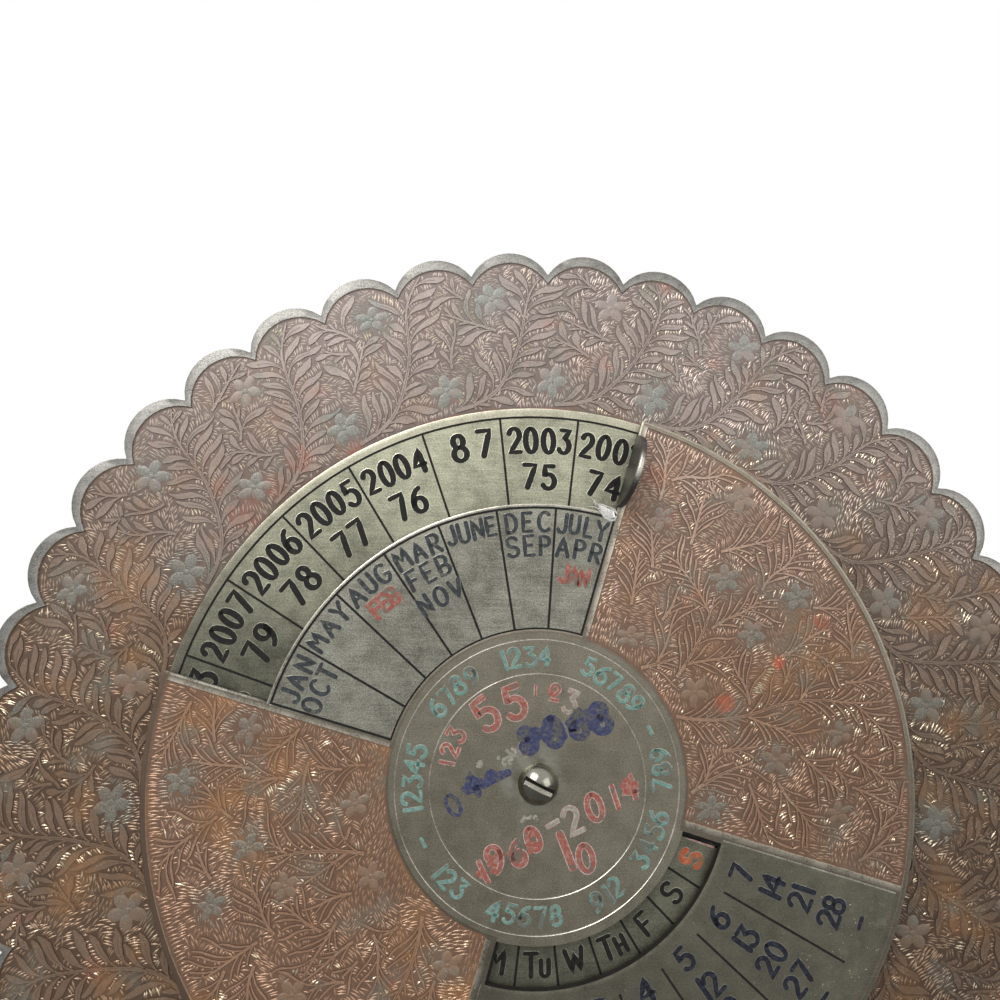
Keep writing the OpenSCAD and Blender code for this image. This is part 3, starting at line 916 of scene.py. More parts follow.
def side_distance(radius: float, angle: float, border: float) -> float:
    """Distance from a border's ray, positive counter-clockwise of it."""
    turn = turn_from(border, angle)
    return math.radians(turn) * max(radius, PolarSheet.NEAR) if abs(turn) < 90 else math.copysign(1e3, turn)


LINE_FOOT = 0.1
LINE_LIP = 0.18
THIN_FOOT = 0.04
THIN_LIP = 0.11
LINE_RAYS = (-LINE_LIP, -LINE_FOOT, LINE_FOOT, LINE_LIP)
AT_FOOT = LINE_FOOT + 0.01
ON_RING = 0.02
EDGE = 0.12


def edge_drop(inset: float) -> float:
    """Depth of a sheet's rounded edge, at a distance inside its rim."""
    return 0.14 if inset < 0.03 else 0.04


def line_rings(radius: float, foot: float = LINE_FOOT, lip: float = LINE_LIP) -> tuple[float, ...]:
    """Rings of a line that is cut around at a radius."""
    return radius - lip, radius - foot, radius + foot, radius + lip


# ------------ lettering


class Tops(Enum):
    """Which way the tops of marks point on a disc."""

    OUTWARD = 1
    INWARD = -1


def arc(x: float, y: float, rx: float, ry: float, first: float, last: float) -> list[Point2]:
    """Points along a part of an ellipse, from one angle to another.

    Args:
        x: Middle.
        y: Middle.
        rx: Radius to the right.
        ry: Radius upwards.
        first: First angle in degrees.
        last: Last angle in degrees.

    Returns:
        The points.
    """
    count = max(3, round(abs(last - first) / 22))
    turns = [math.radians(first + (last - first) * i / count) for i in range(count + 1)]
    return [(x + rx * math.cos(t), y + ry * math.sin(t)) for t in turns]


BOWL_P = [(0.05, 1), (0.28, 1), *arc(0.28, 0.74, 0.26, 0.26, 90, -90), (0.05, 0.48)]
GLYPHS: dict[str, list[list[Point2]]] = {
    "0": [arc(0.29, 0.5, 0.27, 0.5, 90, 450)],
    "1": [[(0.16, 1), (0.16, 0)]],
    "2": [arc(0.29, 0.72, 0.27, 0.28, 165, -38) + [(0.03, 0), (0.58, 0)]],
    "3": [[(0.06, 1), (0.54, 1), (0.27, 0.62)] + arc(0.27, 0.31, 0.29, 0.31, 78, -150)],
    "4": [[(0.45, 0), (0.45, 1), (0.0, 0.3), (0.6, 0.3)]],
    "5": [[(0.54, 1), (0.12, 1), (0.09, 0.56)] + arc(0.27, 0.32, 0.3, 0.32, 118, -150)],
    "6": [arc(0.58, 0.3, 0.55, 0.7, 98, 180) + arc(0.3, 0.3, 0.27, 0.3, 180, -180)],
    "7": [[(0.02, 1), (0.58, 1), (0.22, 0)]],
    "8": [arc(0.3, 0.76, 0.22, 0.24, -90, 270), arc(0.3, 0.26, 0.28, 0.27, 90, 450)],
    "9": [arc(0.02, 0.7, 0.55, 0.7, -82, 0) + arc(0.3, 0.7, 0.27, 0.3, 0, 360)],
    "A": [[(0, 0), (0.3, 1), (0.6, 0)], [(0.12, 0.34), (0.48, 0.34)]],
    "B": [[(0.05, 0), *BOWL_P], [(0.05, 0.5), *arc(0.3, 0.25, 0.28, 0.25, 90, -90), (0.05, 0)]],
    "C": [arc(0.34, 0.5, 0.32, 0.5, 48, 312)],
    "D": [[(0.05, 0), (0.05, 1), *arc(0.2, 0.5, 0.38, 0.5, 90, -90), (0.05, 0)]],
    "E": [[(0.52, 1), (0.05, 1), (0.05, 0), (0.52, 0)], [(0.05, 0.52), (0.42, 0.52)]],
    "F": [[(0.52, 1), (0.05, 1), (0.05, 0)], [(0.05, 0.5), (0.42, 0.5)]],
    "G": [arc(0.34, 0.5, 0.32, 0.5, 48, 345) + [(0.4, 0.42)]],
    "H": [[(0.05, 1), (0.05, 0)], [(0.55, 1), (0.55, 0)], [(0.05, 0.5), (0.55, 0.5)]],
    "J": [[(0.42, 1), *arc(0.2, 0.25, 0.22, 0.25, 0, -160)]],
    "L": [[(0.05, 1), (0.05, 0), (0.5, 0)]],
    "M": [[(0.0, 0), (0.06, 1), (0.34, 0.4), (0.62, 1), (0.68, 0)]],
    "N": [[(0.04, 0), (0.04, 1), (0.56, 0), (0.56, 1)]],
    "O": [arc(0.32, 0.5, 0.31, 0.5, 90, 450)],
    "P": [[(0.05, 0), *BOWL_P]],
    "R": [[(0.05, 0), *BOWL_P], [(0.26, 0.48), (0.58, 0)]],
    "S": [arc(0.3, 0.75, 0.25, 0.25, 25, 268) + arc(0.3, 0.25, 0.27, 0.25, 86, -155)],
    "T": [[(0, 1), (0.6, 1)], [(0.3, 1), (0.3, 0)]],
    "U": [[(0.05, 1), *arc(0.3, 0.28, 0.25, 0.28, 180, 360), (0.55, 1)]],
    "V": [[(0, 1), (0.3, 0), (0.6, 1)]],
    "W": [[(0, 1), (0.2, 0), (0.4, 0.8), (0.6, 0), (0.8, 1)]],
    "Y": [[(0, 1), (0.3, 0.5), (0.6, 1)], [(0.3, 0.5), (0.3, 0)]],
    "-": [[(0.02, 0.5), (0.5, 0.5)]],
}


@dataclass(frozen=True)
class Punch:
    """Hand-cut marks of one size, filled with paint up to a raised burr."""

    height: float
    nib: Point2
    gap: float
    top: float
    fill_slot: int
    burr_slot: int
    rng: random.Random = field(hash=False, compare=False)
    fill_rise: float = 0.035
    burr_rise: float = 0.028
    burr_width: float = 0.06
    shake: float = 1.0
    slim: float = 1.0
    CAPS = ((0.75, 0.4), (0.45, 0.82))
    STEP = 0.9
    BURR_EDGE = 0.35
    FILL_EDGE = 0.12
    LAYER = 0.002

    def width(self, mark: str) -> float:
        """Width of one mark."""
        return max((x for stroke in GLYPHS[mark] for x, _ in stroke)) * self.height * self.slim

    def write(self, pile: Pile, marks: str, radius: float, angle: float, tops: Tops, shrink_last: float = 1.0) -> None:
        """Writes marks along an arc.

        Args:
            pile: Where the marks go.
            marks: The marks in reading order.
            radius: Radius of the middle of the marks.
            angle: Angle of the middle of the group.
            tops: Which way their tops point.
            shrink_last: Size of the last mark against the others.
        """
        sizes = [shrink_last if i and i == len(marks) - 1 else 1.0 for i in range(len(marks))]
        widths = [self.width(m) * s for m, s in zip(marks, sizes)]
        start = -(sum(widths) + self.gap * (len(marks) - 1)) / 2
        for mark, width, size in zip(marks, widths, sizes):
            turn = angle - tops.value * math.degrees((start + width / 2) / radius)
            drop = (1 - size) * self.height / 2 * tops.value
            self.stamp(pile, mark, polar(radius - drop, turn), turn - 90 * tops.value, size)
            start += width + self.gap

    def stamp(self, pile: Pile, mark: str, centre: Point2, heading: float, size: float = 1.0) -> None:
        """Cuts one mark, a little askew as a hand does.

        Args:
            pile: Where the mark goes.
            mark: The mark.
            centre: Its middle.
            heading: Direction in which a line of marks would be read.
            size: Its size against the others.
        """
        lean = self.rng.uniform(-3, 3) * self.shake
        right, up = Vector(polar(1.0, heading + lean)), Vector(polar(1.0, heading + lean + 90))
        scale = self.height * size * (1 + self.rng.uniform(-0.04, 0.04) * self.shake)
        shift = [self.rng.uniform(-0.09, 0.09) * self.shake for _ in range(2)]
        half = self.width(mark) * size / 2
        for i, stroke in enumerate(GLYPHS[mark]):
            placed = []
            for x, y in stroke:
                along, across = x * scale * self.slim - half + shift[0], (y - 0.5) * scale + shift[1]
                placed.append(Vector(centre) + right * along + up * across)
            path, halves = self.nibbed(placed, up, right)
            layer = self.LAYER * i
            wide = [h + self.burr_width for h in halves]
            pile.band(path, wide, self.top, self.top + self.burr_rise + layer, self.BURR_EDGE, self.burr_slot, 0.8)
            pile.band(path, halves, self.top, self.top + self.fill_rise + layer, self.FILL_EDGE, self.fill_slot)

    def smear(self, pile: Pile, centre: Point2, size: Point2, heading: float, count: int) -> None:
        """Rubs short dabs of paint over a patch.

        Args:
            pile: Where the dabs go.
            centre: Middle of the patch.
            size: Its length and height.
            heading: Direction of its length.
            count: Number of dabs.
        """
        right, up = Vector(polar(1.0, heading)), Vector(polar(1.0, heading + 90))
        for i in range(count):
            along, across = (self.rng.uniform(-0.5, 0.5) * side for side in size)
            middle = Vector(centre) + right * along + up * across * 0.8
            aim = heading + self.rng.choice((0, 60, 90, 120)) + self.rng.uniform(-14, 14)
            reach = Vector(polar(self.rng.uniform(0.2, 0.6) * self.height / 2, aim))
            sag = Vector((-reach.y, reach.x)) * self.rng.uniform(-0.25, 0.25)
            path, halves = self.nibbed([middle - reach, middle + sag, middle + reach], up, right)
            pile.band(path, halves, self.top, self.top + self.fill_rise * 0.5 + 0.0007 * (i % 12), 0.3, self.fill_slot)

    def nibbed(self, points: Sequence[Vector], up: Vector, right: Vector) -> tuple[list[Point2], list[float]]:
        """Stroke with round ends, and its half width under the nib at each point.

        Args:
            points: Corners of the stroke.
            up: Direction of the mark's top.
            right: Direction of reading.

        Returns:
            The path, and the half width at each of its points.
        """
        dense = [points[0]]
        for a, b in zip(points, points[1:]):
            steps = max(1, round((b - a).length / self.STEP))
            dense += [a.lerp(b, k / steps) for k in range(1, steps + 1)]
        halves = []
        for i in range(len(dense)):
            along = (dense[min(i + 1, len(dense) - 1)] - dense[max(i - 1, 0)]).normalized()
            halves.append(math.hypot(self.nib[0] * along.dot(up), self.nib[1] * along.dot(right)) / 2)
        first, last = (dense[0] - dense[1]).normalized(), (dense[-1] - dense[-2]).normalized()
        head = [dense[0] + first * halves[0] * reach for reach, _ in self.CAPS]
        tail = [dense[-1] + last * halves[-1] * reach for reach, _ in reversed(self.CAPS)]
        before = [halves[0] * share for _, share in self.CAPS]
        after = [halves[-1] * share for _, share in reversed(self.CAPS)]
        return [tuple(q) for q in head + dense + tail], before + halves + after


# ------------ engraving


class Ground:
    """Raster of an engraved field, in which the scroll finds free room."""

    CELL = 0.16

    def __init__(self, reach: float, inside: Callable[[np.ndarray, np.ndarray], np.ndarray]) -> None:
        """Marks all that lies outside the field as taken.

        Args:
            reach: Half the side of the raster, in mm.
            inside: Whether places lie in the field.
        """
        self.reach = reach
        self.count = round(2 * reach / self.CELL)
        line = (np.arange(self.count) + 0.5) * self.CELL - reach
        x, y = np.meshgrid(line, line)
        self.taken = ~inside(x, y)
        self.lean = np.full(self.taken.shape, np.nan)

    def cell(self, x: float, y: float) -> tuple[int, int]:
        """Row and column of a place."""
        last = self.count - 1
        row, column = int((y + self.reach) / self.CELL), int((x + self.reach) / self.CELL)
        return min(max(row, 0), last), min(max(column, 0), last)

    def is_taken(self, x: float, y: float) -> bool:
        """Whether a place is taken."""
        return bool(self.taken[self.cell(x, y)])

    def is_clear(self, x: float, y: float, radius: float) -> bool:
        """Whether a place and a ring around it are free."""
        if self.is_taken(x, y):
            return False
        return not any(self.is_taken(x + dx, y + dy) for dx, dy in (polar(radius, a) for a in range(0, 360, 45)))

    def take(self, x: float, y: float, radius: float, lean: float | None = None) -> None:
        """Takes a disc, and notes which way the work runs there.

        Args:
            x: Middle.
            y: Middle.
            radius: Radius of the disc.
            lean: Heading of the work, in degrees.
        """
        row, column = self.cell(x, y)
        reach = max(0, round(radius / self.CELL))
        rows, columns = slice(max(row - reach, 0), row + reach + 1), slice(max(column - reach, 0), column + reach + 1)
        dy, dx = np.ogrid[rows.start:min(rows.stop, self.count), columns.start:min(columns.stop, self.count)]
        disc = (dy - row) ** 2 + (dx - column) ** 2 <= (reach + 0.3) ** 2
        self.taken[rows, columns] |= disc
        if lean is not None:
            part = self.lean[rows, columns]
            part[disc & np.isnan(part)] = lean

    def spread_lean(self, rounds: int) -> None:
        """Carries the direction of the work out into free cells."""
        for _ in range(rounds):
            for axis, step in ((0, 1), (0, -1), (1, 1), (1, -1)):
                moved = np.roll(self.lean, step, axis)
                self.lean = np.where(np.isnan(self.lean), moved, self.lean)


@dataclass
class Shoot:
    """A stem or a leaf of the scroll: its middle line, half widths and headings."""

    path: list[Point2]
    headings: list[float]
    halves: list[float] = field(default_factory=list)


@dataclass
class Scroll:
    """Leaf scroll with hatched ground, grown into one engraved field."""

    ground: Ground
    rng: random.Random
    stem_half: float = 0.36
    leaf_long: Point2 = (4.8, 8.0)
    leaf_body: Point2 = (0.46, 0.68)
    leaf_pitch: float = 2.0
    leaf_bend: Point2 = (9.0, 16.0)
    flowers: list[tuple[float, float, float, float]] = field(default_factory=list)
    stems: list[Shoot] = field(default_factory=list)
    leaves: list[Shoot] = field(default_factory=list)
    strokes: list[tuple[float, float, float, float, float]] = field(default_factory=list)
    shine: float = 0.0
    hatch_longest: float = 1.5
    STEP = 0.4
    STEM_TIP = 0.13
    STEM_SPARE = 0.06
    LEAF_SPARE = 0.12
    LEAF_SHORTEST = 2.0
    FLOWER_GROUND = 0.82
    SHINY_ROWS = 0.16
    STROKE_HALF = 0.1
    HATCH_TURN = 70
    LOOSE_TURN = 74
    LEAN_SPREAD = 14
    HATCH_PITCH = 0.46
    HATCH_SHORTEST = 0.4

    def plant_flower(self, x: float, y: float, size: float) -> None:
        """Sets a flower, which keeps its ground."""
        self.flowers.append((x, y, self.rng.uniform(0, 72), size))
        self.ground.take(x, y, size * self.FLOWER_GROUND)

    def wash(self, x: float, y: float) -> float:
        """How far the enamel of a flower has run over a place."""
        nearest = min(math.hypot(x - fx, y - fy) / size for fx, fy, _, size in self.flowers)
        return 0.8 * min(1.0, max(0.0, (1.6 - nearest) / 0.6))

    def walk(self, x: float, y: float, heading: float, bends: Sequence[Point2], blind: float,
             clear: float = 0.0) -> Shoot:
        """Walks on until the ground ahead is taken.

        Args:
            x: Start.
            y: Start.
            heading: First heading in degrees.
            bends: Lengths in mm with the bend of each in degrees per mm.
            blind: Distance over which taken ground is passed.
            clear: Free room that is wanted on both sides ahead.

        Returns:
            The path, with no widths yet.
        """
        path, headings, gone = [(x, y)], [heading], 0.0
        for length, bend in bends:
            for _ in range(round(length / self.STEP)):
                dx, dy = polar(self.STEP + clear, heading)
                probes = [(x + dx, y + dy)]
                if clear:
                    probes += [(x + px, y + py) for px, py in (polar(clear * 1.2, heading + t) for t in (-55, 55))]
                if gone >= blind and any(self.ground.is_taken(*probe) for probe in probes):
                    return Shoot(path, headings)
                dx, dy = polar(self.STEP, heading)
                x, y, gone = x + dx, y + dy, gone + self.STEP
                heading += bend * self.STEP
                path.append((x, y))
                headings.append(heading)
        return Shoot(path, headings)

    def settle(self, shoot: Shoot, group: list[Shoot], spare: float) -> None:
        """Keeps a shoot and takes its ground."""
        group.append(shoot)
        for (x, y), half, heading in zip(shoot.path, shoot.halves, shoot.headings):
            self.ground.take(x, y, half + spare, heading)

    def keep_stem(self, shoot: Shoot, root: float, shortest: float) -> None:
        """Keeps a stem that is long enough, wide at its root and thin at its tip.

        Args:
            shoot: The stem, with no widths yet.
            root: Half width at its root.
            shortest: Least length, in mm.
        """
        count = len(shoot.path)
        if count * self.STEP >= shortest:
            tip = self.STEM_TIP
            shoot.halves = [tip + (root - tip) * (1 - i / count) ** 0.8 for i in range(count)]
            self.settle(shoot, self.stems, self.STEM_SPARE)

    def lay_stem(self, marks: Sequence[Point2]) -> None:
        """Lays a main stem smoothly through marks, over whatever is there.

        Args:
            marks: Places that it runs through.
        """
        points = [Vector((*m, 0)) for m in marks]
        chain = [points[0] * 2 - points[1], *points, points[-1] * 2 - points[-2]]
        dense: list[Vector] = []
        for a, b, c, d in zip(chain, chain[1:], chain[2:], chain[3:]):
            steps = max(2, round((c - b).length / self.STEP))
            for k in range(steps):
                t = k / steps
                point = b * 2 + (c - a) * t + (a * 2 - b * 5 + c * 4 - d) * t**2
                dense.append(0.5 * (point + (b * 3 - a - c * 3 + d) * t**3))
        path, headings = [], []
        for here, ahead in zip(dense, dense[1:]):
            covered = self.ground.is_taken(here.x, here.y) and not self.ground.is_clear(ahead.x, ahead.y, 0.1)
            if covered and len(path) > 12:
                break
            path.append((here.x, here.y))
            headings.append(math.degrees(math.atan2(ahead.y - here.y, ahead.x - here.x)))
        self.keep_stem(Shoot(path, headings), self.stem_half, 2.0)

    def grow_branches(self, pitch: float, length: float) -> None:
        """Grows side branches, in turn to the left and to the right of the stems.

        Args:
            pitch: Distance between two branches, in mm.
            length: Usual length of a branch, in mm.
        """
        for stem in list(self.stems):
            side = self.rng.choice((-1, 1))
            for i in range(round(2.4 / self.STEP), len(stem.path) - 3, round(pitch / self.STEP)):
                side = -side
                (x, y), heading = stem.path[i], stem.headings[i]
                opening, bend = side * self.rng.uniform(34, 50), side * self.rng.uniform(-3.0, 4.0)
                bends = [(length * self.rng.uniform(0.6, 1.1), bend), (3.0, -bend * 2)]
                shoot = self.walk(x, y, heading + opening, bends, 1.5, 1.0)
                self.keep_stem(shoot, min(0.3, stem.halves[i] * 0.9), 3.6)

    def fill(self, tries: int, room: float) -> None:
        """Sets loose sprigs where there is room left for them.

        Args:
            tries: Number of places that are tried.
            room: Free radius that a sprig needs, in mm.
        """
        reach = self.ground.reach
        for _ in range(tries):
            x, y = self.rng.uniform(-reach, reach), self.rng.uniform(-reach, reach)
            if self.ground.is_clear(x, y, room) and self.ground.is_clear(x, y, room * 0.6):
                heading = math.degrees(math.atan2(y, x)) + self.rng.uniform(-75, 75)
                dx, dy = polar(-room * 0.8, heading)
                bend = self.rng.uniform(-9, 9)
                shoot = self.walk(x + dx, y + dy, heading, [(4, bend), (5, -bend)], 0.8, 0.5)
                self.keep_stem(shoot, 0.24, 2.8)

    def grow_leaves(self) -> None:
        """Grows leaves from both sides of every stem, in turns, so that all get room."""
        longest = max((len(t.path) for t in self.stems), default=0)
        pitch = round(self.leaf_pitch / self.STEP)
        for start in range(2, longest, pitch):
            for stem in self.stems:
                for side in (1, -1):
                    i = start + (pitch // 2 if side < 0 else 0)
                    if i < len(stem.path) - 1:
                        self.grow_leaf(stem, i, side)

    def grow_leaf(self, stem: Shoot, i: int, side: int) -> None:
        """Grows one leaf that runs along its stem, arches away and hooks back at its tip.

        Args:
            stem: The stem.
            i: Point of the stem that it leaves from.
            side: 1 for its left side, -1 for its right.
        """
        (x, y), heading, half = stem.path[i], stem.headings[i], stem.halves[i]
        dx, dy = polar(half * 0.7, heading + 90 * side)
        opening = side * self.rng.uniform(16, 28)
        length = self.rng.uniform(*self.leaf_long)
        arch, hook = side * self.rng.uniform(*self.leaf_bend), -side * self.rng.uniform(5, 20)
        shoot = self.walk(x + dx, y + dy, heading + opening, [(length * 0.62, arch), (length * 0.38, hook)], 1.2)
        while len(shoot.path) > 4 and not self.ground.is_clear(*shoot.path[-1], 0.4):
            shoot.path.pop()
            shoot.headings.pop()
        count = len(shoot.path)
        if count * self.STEP < self.LEAF_SHORTEST:
            return
        body = self.rng.uniform(*self.leaf_body) * min(1.0, 0.45 + count * self.STEP / 7)
        wide = [min(self.leaf_half(k / (count - 1), body), max(0.1, self.room_beside(shoot, k, body)))
                for k in range(count)]
        beside = zip([wide[0], *wide], wide, [*wide[1:], wide[-1]])
        shoot.halves = [(a + b + c) / 3 * self.rng.uniform(0.8, 1.15) for a, b, c in beside]
        self.settle(shoot, self.leaves, self.LEAF_SPARE)

    def room_beside(self, shoot: Shoot, k: int, most: float) -> float:
        """Free room on both sides of a shoot at one of its points."""
        (x, y), heading = shoot.path[k], shoot.headings[k]
        return min(self.reach_from(x, y, heading + turn, most + 0.3) for turn in (-90, 90)) - 0.14

    @staticmethod
    def leaf_half(share: float, body: float) -> float:
        """Half width along a leaf: a thin stalk, a full body and a blunt tip."""
        if share < 0.2:
            return 0.1
        return 0.08 + (body - 0.08) * max(0.0, math.sin(math.pi * ((share - 0.2) / 0.8) ** 1.3)) ** 0.7

    def hatch(self) -> None:
        """Fills the ground with short strokes, first beside the work and then in what is left."""
        for shoot in self.leaves + self.stems:
            for side in (1, -1):
                # Some rows are marked to shine, a painted glint of bright metal in the material.
                self.shine = 1.0 if self.rng.random() < self.SHINY_ROWS else 0.0
                self.hatch_beside(shoot, side)
        self.shine = 0.0
        self.ground.spread_lean(self.LEAN_SPREAD)
        pitch = self.HATCH_PITCH
        count = round(2 * self.ground.reach / pitch)
        for row in range(count):
            for column in range(count):
                x = (column + self.rng.uniform(0.2, 0.8)) * pitch - self.ground.reach
                y = (row + self.rng.uniform(0.2, 0.8)) * pitch - self.ground.reach
                if not self.ground.is_taken(x, y):
                    lean = self.ground.lean[self.ground.cell(x, y)]
                    self.stroke_through(x, y, (0.0 if math.isnan(lean) else lean) + self.LOOSE_TURN)

    def hatch_beside(self, shoot: Shoot, side: int) -> None:
        """Sets a row of strokes along one side of a shoot.

        Args:
            shoot: The shoot.
            side: 1 for its left side, -1 for its right.
        """
        gone = 0.0
        for k in range(1, len(shoot.path)):
            gone += self.STEP
            if gone < self.HATCH_PITCH:
                continue
            gone -= self.HATCH_PITCH
            (x, y), heading = shoot.path[k], shoot.headings[k]
            aim = heading + side * self.HATCH_TURN + self.rng.uniform(-6, 6)
            dx, dy = polar(shoot.halves[k] + 0.2, heading + 90 * side)
            self.stroke_from(x + dx, y + dy, aim)

    def reach_from(self, x: float, y: float, aim: float, most: float) -> float:
        """Free length from a place along a heading.

        Args:
            x: The place.
            y: The place.
            aim: Heading in degrees.
            most: Length at which the search ends.

        Returns:
            The length in mm.
        """
        dx, dy = polar(self.ground.CELL, aim)
        steps = 0
        while steps * self.ground.CELL < most and not self.ground.is_taken(x + dx * steps, y + dy * steps):
            steps += 1
        return steps * self.ground.CELL

    def stroke_from(self, x: float, y: float, aim: float) -> None:
        """Cuts a stroke that starts at a place."""
        length = self.reach_from(x, y, aim, self.hatch_longest * self.rng.uniform(0.7, 1.1))
        self.cut(x, y, aim, length)

    def stroke_through(self, x: float, y: float, aim: float) -> None:
        """Cuts a stroke that passes through a place."""
        back = self.reach_from(x, y, aim + 180, self.hatch_longest / 2)
        dx, dy = polar(max(0.0, back - 0.1), aim + 180)
        self.stroke_from(x + dx, y + dy, aim)

    def cut(self, x: float, y: float, aim: float, length: float) -> None:
        """Keeps a stroke that is long enough, and takes its ground.

        Args:
            x: Start.
            y: Start.
            aim: Heading in degrees.
            length: Length in mm.
        """
        if length < self.HATCH_SHORTEST:
            return
        dx, dy = polar(1.0, aim)
        for step in np.arange(0.0, length, self.ground.CELL):
            self.ground.take(x + dx * step, y + dy * step, self.STROKE_HALF, aim - self.HATCH_TURN)
        self.strokes.append((x + dx * length / 2, y + dy * length / 2, aim, length, self.shine))


class Engraver:
    """Turns a scroll into meshes with Geometry Nodes."""

    STROKE_WIDTH = 0.33
    STROKE_OVERLAP = 0.2
    GROOVE_RISE = 0.012
    GROOVE_SPARE = 0.08
    VEIN_HALF = 0.055
    VEIN_RISE = 0.006
    VEINED_HALF = 0.29

    def __init__(self, top: float, floor: float, place: Matrix) -> None:
        """Works on one sheet.

        Args:
            top: Height of the sheet's face.
            floor: Height of the sunk ground.
            place: Frame of the sheet in the standing frame.
        """
        self.top = top
        self.floor = floor
        self.place = place

    def tree(self, name: str, material: Material, **sizes: float) -> tuple[Graph, dict[str, NodeSocket], dict]:
        """Starts a Geometry Nodes tree with named inputs.

        Args:
            name: Name of the tree.
            material: Value of its input "Finish".
            sizes: Values of its number inputs, which are a count where the value is whole.

        Returns:
            The graph, its input sockets by name, and the values by socket identifier.
        """
        tree = bpy.data.node_groups.new(name, "GeometryNodeTree")
        for way in ("INPUT", "OUTPUT"):
            tree.interface.new_socket("Geometry", in_out=way, socket_type="NodeSocketGeometry")
        values = {}
        for title, given in {**sizes, "Finish": material}.items():
            kind = {int: "NodeSocketInt", float: "NodeSocketFloat"}.get(type(given), "NodeSocketMaterial")
            socket = tree.interface.new_socket(title, in_out="INPUT", socket_type=kind)
            values[socket.identifier] = given
        graph = Graph(tree)
        return graph, {s.name: s for s in graph.node("NodeGroupInput").outputs if s.name}, values

    def finish(self, name: str, graph: Graph, geometry: NodeSocket, finish: NodeSocket,
               values: dict, source: Mesh) -> Object:
        """Ends a tree, runs it on a source mesh and makes the piece.

        Args:
            name: Name of the piece.
            graph: The tree.
            geometry: What the tree has made.
            finish: The tree's input "Finish".
            values: Values of the tree's inputs, by socket identifier.
            source: The source mesh.

        Returns:
            The piece.
        """
        real = graph.out("GeometryNodeRealizeInstances", None, {"Geometry": geometry})
        dressed = graph.out("GeometryNodeSetMaterial", None, {"Geometry": real, "Material": finish})
        graph.node("NodeGroupOutput", None, {"Geometry": dressed})
        carrier = linked(source.name, source)
        modifier = carrier.modifiers.new("nodes", "NODES")
        modifier.node_group = graph.tree
        for identifier, given in values.items():
            modifier[identifier] = given
        mesh = evaluated(carrier)
        bpy.data.objects.remove(carrier)
        mesh.name = name
        mesh.shade_flat()
        return finished(name, mesh, self.place, [])

    def source(self, name: str, places: Iterable[Sequence[float]], edges: Sequence[tuple[int, int]] = (),
               **numbers: Sequence[float]) -> Mesh:
        """Mesh on the sunk ground that a tree starts from.

        Args:
            name: Name of the piece.
            places: Its points; anything past x and y is passed over.
            edges: Its edges, by point number.
            numbers: Numbers that its points carry, by attribute name.

        Returns:
            The mesh.
        """
        mesh = bpy.data.meshes.new(name + "_source")
        mesh.from_pydata([(x, y, self.floor) for x, y, *_ in places], edges, [])
        carry(mesh, **numbers)
        return mesh

    def hatching(self, name: str, scroll: Scroll, material: Material) -> Object:
        """Stands a pointed ridge on every stroke of the hatching.

        Args:
            name: Name of the piece.
            scroll: The scroll.
            material: Material of the piece.

        Returns:
            The piece.
        """
        _, _, aims, lengths, shines = zip(*scroll.strokes)
        wash = [scroll.wash(x, y) for x, y, *_ in scroll.strokes]
        # The shine of each stroke goes into the wear attribute, where it becomes a painted glint.
        source = self.source(name, scroll.strokes, wash=wash, turn=np.radians(aims),
                             length=np.array(lengths) + self.STROKE_OVERLAP, wear=shines)
        graph, sockets, values = self.tree(name, material, Width=self.STROKE_WIDTH, Height=self.top - self.floor)
        cone = graph.node("GeometryNodeMeshCone", {"fill_type": "NGON"}, {
            "Vertices": 4, "Radius Top": 0.0, "Radius Bottom": 0.5, "Depth": 1.0})
        size = graph.vector(X=graph.carried("length"), Y=sockets["Width"], Z=sockets["Height"])
        set_on = graph.out("GeometryNodeInstanceOnPoints", None, {
            "Points": sockets["Geometry"], "Instance": cone.outputs["Mesh"],
            "Rotation": graph.rotation(graph.carried("turn")), "Scale": size})
        return self.finish(name, graph, set_on, sockets["Finish"], values, source)

    def foliage(self, name: str, scroll: Scroll, material: Material) -> Object:
        """Sweeps a low ridge along every stem and leaf of a scroll."""
        return self.sweep(name, scroll.stems + scroll.leaves, scroll, material, self.top - self.floor, 1.62)

    def grooves(self, name: str, scroll: Scroll, material: Material) -> Object:
        """Lays the dark cut that outlines every stem and leaf of a scroll."""
        wider = [Shoot(s.path, s.headings, [half + self.GROOVE_SPARE for half in s.halves])
                 for s in scroll.stems + scroll.leaves]
        return self.sweep(name, wider, scroll, material, self.GROOVE_RISE, 1.9)

    def veins(self, name: str, scroll: Scroll, material: Material) -> Object:
        """Lays a thin cut along the middle of wide stems and of every other leaf.

        Args:
            name: Name of the piece.
            scroll: The scroll.
            material: Material of the piece.

        Returns:
            The piece.
        """
        cuts = []
        for leaf in scroll.leaves[::2] + scroll.stems:
            first, last = round(len(leaf.path) * 0.2), round(len(leaf.path) * 0.75)
            if max(leaf.halves) > self.VEINED_HALF and last - first > 3:
                halves = [self.VEIN_HALF] * (last - first)
                cuts.append(Shoot(leaf.path[first:last], leaf.headings[first:last], halves))
        return self.sweep(name, cuts, scroll, material, self.top - self.floor + self.VEIN_RISE, 1.0)

